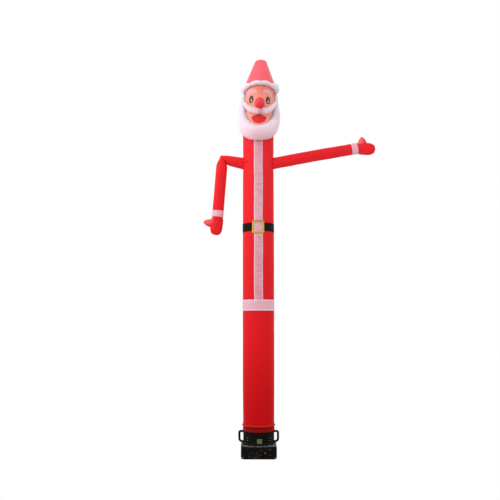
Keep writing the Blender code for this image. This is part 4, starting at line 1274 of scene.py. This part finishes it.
def faceMaterial():
    made, tree, shader = startMaterial("printedFace", 0.25, 0.05)
    cloth = woven(tree, "face", 0.5, 0.55, crinkle=0.8)
    along, up, _ = clothLengths(tree)

    def oval(x, y, wide, high, soft=0.06):
        wires = {"Along": along, "Up": up, "Centre Along": x, "Centre Up": y}
        wires.update({"Half Width": wide, "Half Height": high, "Softness": soft})
        return placedGroup(tree, printGroup, wires)["Mask"]

    # Painted shadow of the brim darkens the forehead
    brimShadowShare = times(tree, ramped(tree, up, 0.50, 0.62), 0.9)
    tone = mixed(tree, brimShadowShare, cloth["Color"], rgb(*cloths["face"]["foreheadBrimShadow"]))
    # Eyebrows: the upper part of an oval, with a blunt inner end
    for x, y, wide, high, side, low, dip in face["brows"]:
        inner = times(tree, along, side)
        outer = times(tree, sums(tree, "MAXIMUM", minus(tree, inner, 0.130), 0.0), dip)
        brow = times(tree, oval(x, y, wide, high), ramped(tree, inner, 0.042, 0.054))
        brow = times(tree, brow, ramped(tree, plus(tree, up, outer), low - 0.007, low + 0.007))
        tone = mixed(tree, times(tree, brow, 0.92), tone, rgb(*face["browColor"]))
    # Mouth: an oval below two slopes that meet under the moustache
    middle, top, leftSlope, rightSlope = face["mouthTop"]
    aside = minus(tree, along, middle)
    left = plus(tree, top, times(tree, aside, leftSlope))
    right = minus(tree, top, times(tree, aside, rightSlope))
    slope = minus(tree, sums(tree, "MINIMUM", left, right), up)
    mouth = times(tree, oval(*face["mouth"], 0.03), ramped(tree, slope, -0.003, 0.003))
    low, high = (rgb(*color) for color in face["mouthColors"])
    tone = mixed(tree, mouth, tone, mixed(tree, ramped(tree, up, 0.12, 0.24), low, high))
    # Eyes: a dark oval, greyer towards its lower part, with a pale glint
    for x, y, glintX, glintY in face["eyes"]:
        iris = oval(x + 0.002, y - 0.002, *face["irisSize"], 0.5)
        glint = oval(glintX, glintY, *face["glintSize"], 0.5)
        dark = mixed(tree, iris, rgb(*face["eyeColor"]), rgb(*face["irisColor"]))
        dark = mixed(tree, glint, dark, rgb(*face["glintColor"]))
        tone = mixed(tree, oval(x, y, *face["eyeSize"], 0.07), tone, dark)
    # White cloth at the sides and the back of the head, and further forward behind the beard
    forward = times(tree, ramped(tree, up, 0.26, 0.06), face["hairForward"])
    aside = plus(tree, positive(tree, along), forward)
    hair = ramped(tree, aside, face["hairStart"] - 0.001, face["hairStart"] + 0.001)
    tone = mixed(tree, hair, tone, rgb(*cloths["white"]["color"]))
    seam = placedGroup(tree, seamGroup, {"Along": up, "Across": aside, "Place": face["hairStart"] - 0.006})
    wireUp(tree, shader, tone, cloth["Roughness"], plus(tree, cloth["Height"], seam["Height"]))
    return made


def headSkin(turn, height):
    skin = eased(head["profile"], height, 0.03)
    spot = placed(head["radius"], turn, height)
    skin = skin + uneven(spot, head["slack"])
    back = (math.pi - np.abs(turn)) * head["radius"]
    skin = skin + gathers(height, back, 3.0, *head["backSeam"]) - 0.0018 * bump(back, 0.004)
    behind = smooth(1.2, 1.8, np.abs(turn))
    skin = skin + behind * gathers(turn, height, wholeTurn, *head["neckGathers"])
    return skin + behind * gathers(turn, head["height"] - height, wholeTurn, *head["crownGathers"])


def hatSkin(turn, height):
    # Height is above the head's top
    skin = eased(hat["profile"], height, 0.004)
    spot = placed(skin, turn, height)
    skin = skin + smooth(0.42, 0.34, height) * uneven(spot, hat["slack"])
    skin = skin + gathers(turn, height, wholeTurn, *hat["lowGathers"])
    drawn = gathers(turn, height - 0.405, wholeTurn, *hat["topGathers"])
    skin = skin + drawn * smooth(0.4225, 0.40, height)
    back = (math.pi - np.abs(turn)) * skin
    seam = gathers(height, back, 2.0, *hat["backSeam"])
    return skin + seam - 0.0018 * bump(back, 0.004) * smooth(0.42, 0.40, height)


def offHead(points, gap):
    # Pushes points in the head's own frame out of the head and the hat
    turn = np.arctan2(points[..., 0], -points[..., 1])
    height = points[..., 2]
    wall = headSkin(turn, np.clip(height, 0, head["height"]))
    crown = hatSkin(turn, np.clip(height - head["height"], 0, 0.42))
    wall = np.where(height > head["height"], crown, wall) + gap
    radius = np.hypot(points[..., 0], points[..., 1])
    inside = (radius < wall) & (height > 0)
    points = points.copy()
    points[..., :2] *= np.where(inside, wall / radius, 1)[..., None]
    return points


def offTube(points, gap):
    # Pushes points in the object's frame out of the body tube
    turn = np.arctan2(points[..., 0], -points[..., 1])
    height = points[..., 2] - levels["foot"]
    wall = tubeSkin(turn, np.clip(height, 0.2, tube["length"])) + gap
    radius = np.hypot(points[..., 0], points[..., 1])
    inside = (radius < wall) & (height < tube["length"] + 0.001)
    points = points.copy()
    points[..., :2] *= np.where(inside, wall / radius, 1)[..., None]
    return points


def makeHead():
    angles = around(head["columns"])
    heights = np.linspace(0.0004, head["height"] - 0.0004, 76)
    grid, turn = np.meshgrid(heights, angles, indexing="ij")
    points = onHead(placed(headSkin(turn, grid), turn, grid))
    u = turn * head["radius"]
    return dress(skinned("headCloth", points, u, grid), ["head"], faceMaterial())


hat = {
    "columns": 180,
    "profile": (  # height above the head's top, and radius
        (-0.1, 0.2435), (0.000, 0.2435), (0.100, 0.2068), (0.200, 0.1692), (0.300, 0.1318), (0.400, 0.0948),
        (0.409, 0.0905), (0.418, 0.0800), (0.4235, 0.0680), (0.4262, 0.0520),
    ),
    "slack": ((0.0014, 0.24, 101), (0.0005, 0.07, 102)),
    "lowGathers": (0.13, 0.0035, 0.060, 103),
    "topGathers": (0.34, 0.0014, 0.030, 104),
    "backSeam": (0.028, 0.0012, 0.014, 105),
}


def makeHat():
    angles = around(hat["columns"])
    heights = np.concatenate([np.linspace(0.0004, 0.39, 80), np.linspace(0.394, 0.4262, 16)])
    grid, turn = np.meshgrid(heights, angles, indexing="ij")
    points = placed(hatSkin(turn, grid), turn, grid + head["height"] + 0.0003)
    rings = []
    for share in np.linspace(1, 0.02, 7)[1:]:
        ring = points[-1] * np.array([share, share, 1.0])
        ring[:, 2] += 0.0006 * (1 - share**2)
        rings.append(ring)
    points = onHead(np.concatenate([points, np.array(rings)]))
    u = np.broadcast_to(angles * 0.15, points.shape[:2])
    return dress(skinned("hatCloth", points, u, lengths(points, 0)), ["hat"], paleRedNylon)


brim = {
    "middle": 0.729,
    "radius": 0.232,
    "halfDeep": 0.066,
    "frontHalf": 0.036,
    "sideHalf": 0.086,
    "dips": (  # degrees from the front, and drop
        (-10, 0), (0, 0), (20, 0.002), (45, 0.020), (62, 0.020), (90, 0.008), (190, 0.006),
    ),
    "lobes": 10,
    "swell": 0.0085,
    "gathers": (0.085, 0.0018, 0.040, 111),
}


def makeBrim():
    # A gathered roll: thin over the face and fuller at the sides, drawn in between its lobes
    angles = around(360)
    turns = ring(56)
    angle, turn = np.meshgrid(angles, turns, indexing="ij")
    forward = (1 + np.cos(angle)) / 2
    half = between(brim["frontHalf"], brim["sideHalf"], smooth(0.90, 0.52, forward))
    lobe = np.abs(np.sin(brim["lobes"] * angle / 2 + 0.10 * np.sin(3 * angle))) ** 0.75
    puff = brim["swell"] * (2 * lobe - 1)
    outer = 0.5 + 0.5 * np.cos(turn)
    ends = np.abs(np.sin(turn))
    fine = gathers(angle, (1 - ends) * 0.09, wholeTurn, *brim["gathers"])
    fine = fine + 0.0009 * waves(placed(0.3, angle, 0.1 * np.sin(turn)), 0.09, 112)
    # Over the face its lower edge runs smoothly
    rising = 1 - smooth(0.55, 0.95, forward) * (1 - smooth(-0.7, 0.3, np.sin(turn)))
    deep = brim["halfDeep"] + (puff * outer + fine) * rising
    up = half + (puff * 0.9 + fine) * rising
    radius = brim["radius"] + deep * np.cos(turn)
    height = brim["middle"] + up * np.sin(turn) - eased(brim["dips"], np.abs(np.degrees(angle)), 10)
    points = onHead(offHead(placed(radius, angle, height), clearance))
    points = np.concatenate([points, points[:1]])
    u = (np.broadcast_to(turns, points.shape[:2]) - math.pi) * 0.07
    v = np.concatenate([angle, angle[:1] + wholeTurn]) * 0.29
    piece = skinned("brimCloth", points, u, v)
    weldRing(piece, points.shape[1])
    return piece


beard = {
    "middle": 0.305,
    "drop": 0.360,
    "taper": 1.3,
    "top": 0.640,
    "sideAngle": 80,
    "topAngle": 86,
    "radius": 0.247,
    "chin": (0.119, 0.095),  # half width and puff
    "side": (0.092, 0.083),
    "tip": (0.062, 0.024),
    "closing": 0.004,
    "gathers": (0.055, 0.0042, 0.036, 121),
    "slack": ((0.0022, 0.20, 122), (0.0007, 0.06, 123)),
}


def rollRings(stations, turns):
    # Rings square to a line that lies on the head; a station is angle, height, half width, puff and radius
    angle, height, width, puff, radius = stations.T
    out = np.stack([np.sin(angle), -np.cos(angle), 0 * angle], -1)
    middles = out * radius[:, None]
    middles[:, 2] = height
    along = np.gradient(middles, axis=0)
    along /= np.linalg.norm(along, axis=1)[:, None]
    across = np.cross(along, out)
    across /= np.linalg.norm(across, axis=1)[:, None]
    off = np.cross(across, along)
    sideways = across[:, None, :] * np.cos(turns)[None, :, None]
    outwards = off[:, None, :] * np.sin(turns)[None, :, None]
    return middles[:, None, :], sideways, outwards, width[:, None, None], puff[:, None, None]


def beardStations(count):
    # Down from one end beside the brim, round under the chin, and up to the other
    side = math.radians(beard["sideAngle"])
    keys = []
    for step in range(61):
        turn = math.radians(-90 + 180 * step / 60)
        up = 1 - math.cos(turn)
        width, puff = (between(beard["chin"][n], beard["side"][n], up) for n in (0, 1))
        low = beard["drop"] * math.cos(turn) ** beard["taper"]
        keys.append((side * math.sin(turn), beard["middle"] - low, width, puff))
    ends = []
    for step in range(1, 13):
        share = step / 12
        angle = between(side, math.radians(beard["topAngle"]), share)
        height = between(beard["middle"], beard["top"], share)
        width, puff = (between(beard["side"][n], beard["tip"][n], share) for n in (0, 1))
        ends.append((angle, height, width, puff))
    keys = np.array([(-a, h, w, p) for a, h, w, p in reversed(ends)] + keys + ends)
    run = runAlong(np.stack([keys[:, 0] * beard["radius"], keys[:, 1]], 1))
    fine = np.linspace(0, run[-1], count)
    columns = [np.interp(fine, run, keys[:, n]) for n in range(4)]
    return np.stack(columns + [np.full(count, beard["radius"])], 1), fine


def makeBeard():
    stations, run = beardStations(250)
    turns = ring(76)
    middles, sideways, outwards, width, puff = rollRings(stations, turns)
    s, turn = np.meshgrid(run, turns, indexing="ij")
    seam = np.minimum(np.abs(np.sin(turn)), 1)
    fine = gathers(s, seam * 0.10, run[-1], *beard["gathers"])
    fine = fine + uneven(middles + sideways * width, beard["slack"])
    # Its inner edge closes in beside the chin
    swing = np.clip(np.abs(stations[:, 0]) / math.radians(beard["sideAngle"]), 0, 1)
    close = beard["closing"] * 4 * swing**2 * (1 - swing**2)
    inner = np.clip(-np.cos(turns), 0, 1) ** 2
    wide = fine + close[:, None] * inner
    points = middles + sideways * (width + wide[..., None]) + outwards * (puff + fine[..., None])
    points = offTube(onHead(offHead(points, clearance)), 0.0034)
    return skinned("beardCloth", points, (turn - math.pi) * 0.09, s)


moustache = {
    "middle": 0.283,
    "angle": 60,
    "rise": 0.180,
    "shift": 0.055,  # turns its middle a little aside
    "radius": 0.262,
    "tipRadius": 0.279,
    "half": 0.050,
    "tipHalf": 0.018,
    "pinch": 0.010,
    "puff": 0.046,
    "tipPuff": 0.028,
    "gathers": (0.75, 0.0042, 0.022, 131),
    "slack": ((0.0010, 0.07, 132),),
}


def makeMoustache():
    share = np.linspace(-1, 1, 150)
    side = np.abs(share)
    pinch = moustache["pinch"] * bump(side, 0.09)
    end = np.sqrt(np.clip(1 - smooth(0.95, 1.0, side) ** 2, 0.05, 1))
    width = (between(moustache["half"], moustache["tipHalf"], side**3) - pinch) * end
    puff = (between(moustache["puff"], moustache["tipPuff"], side**3) - pinch * 1.3) * end
    height = moustache["middle"] + moustache["rise"] * side**2.5
    radius = between(moustache["radius"], moustache["tipRadius"], side**2)
    angle = share * math.radians(moustache["angle"]) + moustache["shift"] * (1 - share**2) ** 2
    turns = ring(52)
    stations = np.stack([angle, height, width, puff, radius], 1)
    middles, sideways, outwards, wide, deep = rollRings(stations, turns)
    s, turn = np.meshgrid(share * 0.27, turns, indexing="ij")
    fine = gathers(turn, np.abs(s) * 0.6, wholeTurn, *moustache["gathers"])
    fine = fine + uneven(middles + sideways * wide, moustache["slack"])
    fine = (fine * np.minimum(1, wide[..., 0] / 0.03))[..., None]
    points = middles + sideways * (wide + fine) + outwards * (deep + fine)
    points = onHead(offHead(points, clearance))
    return skinned("moustacheCloth", points, (turn - math.pi) * 0.045, s)


nose = {
    "middle": 0.402,
    "halfHigh": 0.087,
    "radius": 0.0765,
    "aside": -0.003,
    "out": 0.270,
    "point": 0.30,
    "gathers": (0.5, 0.0016, 0.022, 141),
}


def makeNose():
    turns = ring(72)
    polar = np.linspace(0.02, math.pi - 0.02, 48)
    level, turn = np.meshgrid(polar, turns, indexing="ij")
    high = np.cos(level)
    outline = np.sin(level) ** 0.93 * (1 - nose["point"] * np.clip(-high, 0, 1) ** 2)
    # Four seams run from its tip to its crown, each a shallow furrow
    seam = np.abs(np.sin(2 * turn + 0.8))
    skin = nose["radius"] * outline * (1 - 0.020 * bump(seam, 0.10))
    skin = skin + gathers(turn, (1 - np.abs(high)) * 0.08, wholeTurn, *nose["gathers"])
    height = nose["middle"] + nose["halfHigh"] * high
    points = np.stack([nose["aside"] + skin * np.sin(turn), -skin * np.cos(turn) - nose["out"], height], -1)
    points = onHead(offHead(points, clearance))
    return skinned("noseCloth", points, (turn - math.pi) * 0.07, level * 0.08)


print("head")
makeHead()
makeHat()
brimCloth = dress(makeBrim(), ["hat_brim"], whiteNylon)
beardCloth = makeBeard()
clearOf(beardCloth, brimCloth, clearance)
dress(beardCloth, ["beard"], beardNylon)
noseCloth = dress(makeNose(), ["nose"], noseNylon)
moustacheCloth = makeMoustache()
clearOf(moustacheCloth, beardCloth, clearance)
clearOf(moustacheCloth, noseCloth, clearance)
dress(moustacheCloth, ["moustache"], moustacheMaterial())


# The blower

blower = {
    "bevel": 0.0022,
    "plateBevel": 0.0012,
    "drum": 0.2285,
    "handle": {
        "corners": ((0.200, 0.3590), (0.2840, 0.3590), (0.2840, 0.2350), (0.259, 0.2130), (0.200, 0.2130)),
        "round": 0.024,
        "thick": 0.0320,
        "deep": 0.0340,
        "ridge": 0.0005,
    },
    "label": {
        "middle": (0.0085, 0.2480),
        "half": (0.0355, 0.0320),
        "paper": (0.135, 0.160, 0.060),
        "stain": (0.095, 0.112, 0.044),
    },
    "recess": 0.0012,  # depth of the cross in a screw's head
    "switchKey": (0.36, 0.026, 0.016),
    "rocker": (  # rings from its base to its middle: size, height, roundness, and whether it is the key
        (1.00, 0.00, 0.10, 0), (1.00, 0.34, 0.10, 0), (0.98, 0.42, 0.12, 0), (0.94, 0.46, 0.14, 0),
        (0.86, 0.46, 0.16, 0), (0.84, 0.43, 0.16, 0), (0.83, 0.20, 0.16, 0), (0.80, 0.20, 0.16, 0),
        (0.79, 0.50, 0.18, 1), (0.77, 0.56, 0.20, 1), (0.72, 0.59, 0.24, 1), (0.50, 0.59, 0.30, 1),
        (0.30, 0.59, 0.40, 1), (0.12, 0.59, 0.60, 1), (0.02, 0.59, 0.90, 1),
    ),
}


def finishPlastic(nodeName, look, bevel):
    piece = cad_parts[nodeName]
    piece.data.materials.clear()
    piece.data.materials.append(look)
    weld = piece.modifiers.new("weld", "WELD")
    weld.merge_threshold = 0.00005
    if bevel:
        edge = piece.modifiers.new("moulded edges", "BEVEL")
        edge.width = bevel
        edge.segments = 3
        edge.limit_method = "ANGLE"
        edge.angle_limit = math.radians(35)
    return piece


def makeHandle(name, nodeName, side):
    values = blower["handle"]
    corners = [np.array(c) for c in values["corners"]]
    path = [corners[0]]
    for before, corner, after in zip(corners, corners[1:], corners[2:]):
        start = corner + (before - corner) / np.linalg.norm(before - corner) * values["round"]
        end = corner + (after - corner) / np.linalg.norm(after - corner) * values["round"]
        for share in np.linspace(0, 1, 12):
            path.append((1 - share) ** 2 * start + 2 * share * (1 - share) * corner + share**2 * end)
    path.append(corners[-1])
    path = np.array(path)
    run = runAlong(path)
    fine = np.linspace(0, run[-1], 110)
    path = np.stack([np.interp(fine, run, path[:, 0]), np.interp(fine, run, path[:, 1])], 1)
    along = np.gradient(path, axis=0)
    along /= np.linalg.norm(along, axis=1)[:, None]
    turns = ring(40)
    cos, sin = np.cos(turns), np.sin(turns)
    across = np.sign(cos) * np.abs(cos) ** 0.8 * values["thick"] / 2
    deep = np.sign(sin) * np.abs(sin) ** 0.8 * values["deep"] / 2
    # A fine ridge runs round it where the two halves of the mould met
    across = across + np.sign(cos) * values["ridge"] * (np.abs(deep) < 0.0012)
    points = np.empty((len(path), len(turns), 3))
    points[..., 0] = path[:, :1] - along[:, 1:] * across
    points[..., 1] = deep
    points[..., 2] = path[:, 1:] + along[:, :1] * across
    points[..., 0] = side * np.maximum(points[..., 0], np.sqrt(blower["drum"] ** 2 - points[..., 1] ** 2))
    return dress(skinned(name, points), [nodeName], blackPlastic)


def makeScrewMesh(name, radius, tall):
    # A pan head with a cross cut in it, standing on z = 0
    turns = ring(48)
    sides = [(radius, 0.0), (radius, tall * 0.35), (radius * 0.97, tall * 0.58), (radius * 0.88, tall * 0.80)]
    crown = [(radius * share, tall * (1 - 0.16 * share**2)) for share in np.linspace(0.78, 0.03, 17)]
    rows = np.array(sides + crown)
    grid, turn = np.meshgrid(np.arange(len(rows)), turns, indexing="ij")
    r, z = rows[grid, 0], rows[grid, 1]
    x, y = r * np.cos(turn), r * np.sin(turn)
    arm = np.minimum(np.abs(x), np.abs(y))
    cross = smooth(radius * 0.16, radius * 0.09, arm) * smooth(radius * 0.66, radius * 0.56, r)
    z = z - blower["recess"] * cross
    return skinned(name, np.stack([x, y, z], -1))


def makeScrews(look, word, meshName):
    # All that have the word in their name share one mesh, stood the way that each solid faces
    names = [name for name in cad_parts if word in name]
    first = None
    for name in names:
        solid = spots(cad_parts[name])
        middle = (solid.min(0) + solid.max(0)) / 2
        out = np.linalg.eigh(np.cov((solid - solid.mean(0)).T))[1][:, 0]
        if out @ middle < 0:
            out = -out
        level = (solid - middle) @ out
        flat = (solid - middle) - level[:, None] * out
        radius, tall = np.linalg.norm(flat, axis=1).max(), level.max() - level.min()
        if first is None:
            first = makeScrewMesh(meshName, radius, tall)
            first.data.materials.append(look)
            piece = first
        else:
            piece = bpy.data.objects.new(meshName, first.data)
            bpy.context.scene.collection.objects.link(piece)
        piece.name = name.replace("screw", "screwHead")
        piece.rotation_euler = Vector(out).to_track_quat("Z", "Y").to_euler()
        piece.location = middle + out * level.min()
        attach(piece, "root")
        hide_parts(name)


def switchPlastic(middle, half):
    # The key is red, and the frame round it black
    made = hardMaterial("switchPlastic")
    tree, base = made.node_tree, colorPlug(made)
    place = split(tree, objectPlace(tree))
    x = positive(tree, minus(tree, place[0], float(middle[0])))
    z = positive(tree, minus(tree, place[2], float(middle[2])))
    key = ramped(tree, sums(tree, "MAXIMUM", x, z), float(half) * 0.70, float(half) * 0.66)
    tree.links.new(mixed(tree, key, base.links[0].from_socket, rgb(*blower["switchKey"])), base)
    return made


def makeSwitch():
    # A rocker in its frame: the frame's edge, a groove, and the tilted key
    low, high = (np.array(c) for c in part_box("power_switch"))
    middle = (low + high) / 2
    half = (high[0] - low[0]) / 2
    proud = high[1] - low[1]
    rows = blower["rocker"]
    turns = ring(64)
    cos, sin = np.cos(turns), np.sin(turns)
    points = np.empty((len(rows), len(turns), 3))
    for n, (size, lift, roundness, key) in enumerate(rows):
        power = 0.16 + roundness * 0.7
        x = np.sign(cos) * np.abs(cos) ** power * size
        z = np.sign(sin) * np.abs(sin) ** power * size
        valley = key * (0.36 * np.abs(z) - 0.16 + 0.16 * z)
        points[n, :, 0] = middle[0] + x * half
        points[n, :, 1] = high[1] - proud * (lift + valley)
        points[n, :, 2] = middle[2] + z * half
    look = switchPlastic(middle, half)
    return dress(skinned("switchRocker", points), ["power_switch"], look)


def drumPlastic():
    # The same plastic, with one blank sticker on its front
    values = dict(hardParts["drumPlastic"])
    made, tree, shader = startMaterial("drumPlastic", values.pop("specular"))
    body = moulded(tree, **values)
    label = blower["label"]
    place = split(tree, objectPlace(tree))
    (x, z), (wide, high) = label["middle"], label["half"]
    across = minus(tree, wide, positive(tree, minus(tree, place[0], x)))
    up = minus(tree, high, positive(tree, minus(tree, place[2], z)))
    inside = ramped(tree, sums(tree, "SMOOTH_MIN", across, up, 0.004), -0.0006, 0.0006)
    inside = times(tree, inside, sums(tree, "LESS_THAN", place[1], 0.0))
    stain = noise(tree, objectPlace(tree), 45.0)
    paper = mixed(tree, ramped(tree, stain, 0.35, 0.7), rgb(*label["paper"]), rgb(*label["stain"]))
    tone = mixed(tree, inside, body["Color"], paper)
    height = plus(tree, body["Height"], times(tree, inside, 2.0))
    wireUp(tree, shader, tone, body["Roughness"], height, 0.18, 0.0005)
    return made


print("blower")
finishPlastic("blower_housing", blackPlastic, blower["bevel"])
finishPlastic("switch_plate", blackPlastic, blower["plateBevel"])
drumLook = drumPlastic()
for name in ("outlet_drum", "drum_flange", "drum_rim"):
    finishPlastic(name, drumLook, 0.0)
makeHandle("handleLeftBar", "handle_left", -1)
makeHandle("handleRightBar", "handle_right", 1)
makeScrews(screwSteel, "foot_screw", "footScrew")
makeScrews(dullSteel, "drum_screw", "drumScrew")
makeScrews(darkSteel, "plate_screw", "plateScrew")
makeSwitch()


# The floor, light and camera

def makeFloor():
    # Plain white to the camera; as light it throws the studio's light back up
    half = light["floorHalf"]
    corners = [(-half, -half, 0), (half, -half, 0), (half, half, 0), (-half, half, 0)]
    mesh = bpy.data.meshes.new("floor")
    mesh.from_pydata(corners, [], [(0, 1, 2, 3)])
    floor = shown("floor", mesh)
    made, tree, shader = startMaterial("paleFloor", 0.0)
    shader.inputs["Base Color"].default_value = rgb(*[light["floorTone"]] * 3)
    shader.inputs["Roughness"].default_value = 0.9
    seen = node(tree, "Emission", {"Color": rgb(1, 1, 1), "Strength": 1.0})
    ray = node(tree, "LightPath").outputs["Is Camera Ray"]
    both = node(tree, "MixShader", {0: ray, 1: shader.outputs[0], 2: seen.outputs[0]})
    tree.links.new(both.outputs[0], tree.nodes["Material Output"].inputs["Surface"])
    mesh.materials.append(made)


def makeWorld():
    # White to the camera; as light it is a studio that is brighter on one side
    world = bpy.data.worlds.new("studio")
    world.use_nodes = True
    tree = world.node_tree
    tree.nodes.clear()
    way = Vector(light["towards"]).normalized()
    wires = {0: node(tree, "TexCoord").outputs["Generated"], 1: way}
    facing = node(tree, "VectorMath", wires, operation="DOT_PRODUCT")
    low, high = light["spread"]
    wires = {0: facing.outputs["Value"], 1: low, 2: high, 3: light["dim"], 4: light["bright"]}
    strength = node(tree, "MapRange", wires, interpolation_type="SMOOTHSTEP").outputs[0]
    seen = node(tree, "Background", {"Color": rgb(1, 1, 1), "Strength": 1.0})
    lit = node(tree, "Background", {"Color": rgb(1, 1, 1), "Strength": strength})
    ray = node(tree, "LightPath").outputs["Is Camera Ray"]
    both = node(tree, "MixShader", {0: ray, 1: lit.outputs[0], 2: seen.outputs[0]})
    out = node(tree, "OutputWorld", {0: both.outputs[0]})
    out.is_active_output = True
    bpy.context.scene.world = world


def makeLamp(name, values):
    data = bpy.data.lights.new(name, "AREA")
    data.shape = "RECTANGLE"
    data.size, data.size_y = values["size"]
    data.energy = values["power"]
    lamp = bpy.data.objects.new(name, data)
    lamp.location = values["place"]
    aim = Vector(values["target"]) - Vector(values["place"])
    lamp.rotation_euler = aim.to_track_quat("-Z", "Y").to_euler()
    bpy.context.scene.collection.objects.link(lamp)


def makeCamera():
    data = bpy.data.cameras.new("camera")
    data.lens = view["lens"]
    data.sensor_width = view["sensor"]
    data.clip_end = 300
    camera = bpy.data.objects.new("camera", data)
    camera.location = view["place"]
    camera.rotation_euler = (math.radians(90 + view["upward"]), 0, 0)
    bpy.context.scene.collection.objects.link(camera)
    bpy.context.scene.camera = camera


print("stage")
makeFloor()
makeWorld()
makeLamp("keyLight", light["key"])
makeLamp("sideLight", light["side"])
makeCamera()
bpy.context.scene.view_settings.view_transform = "Standard"
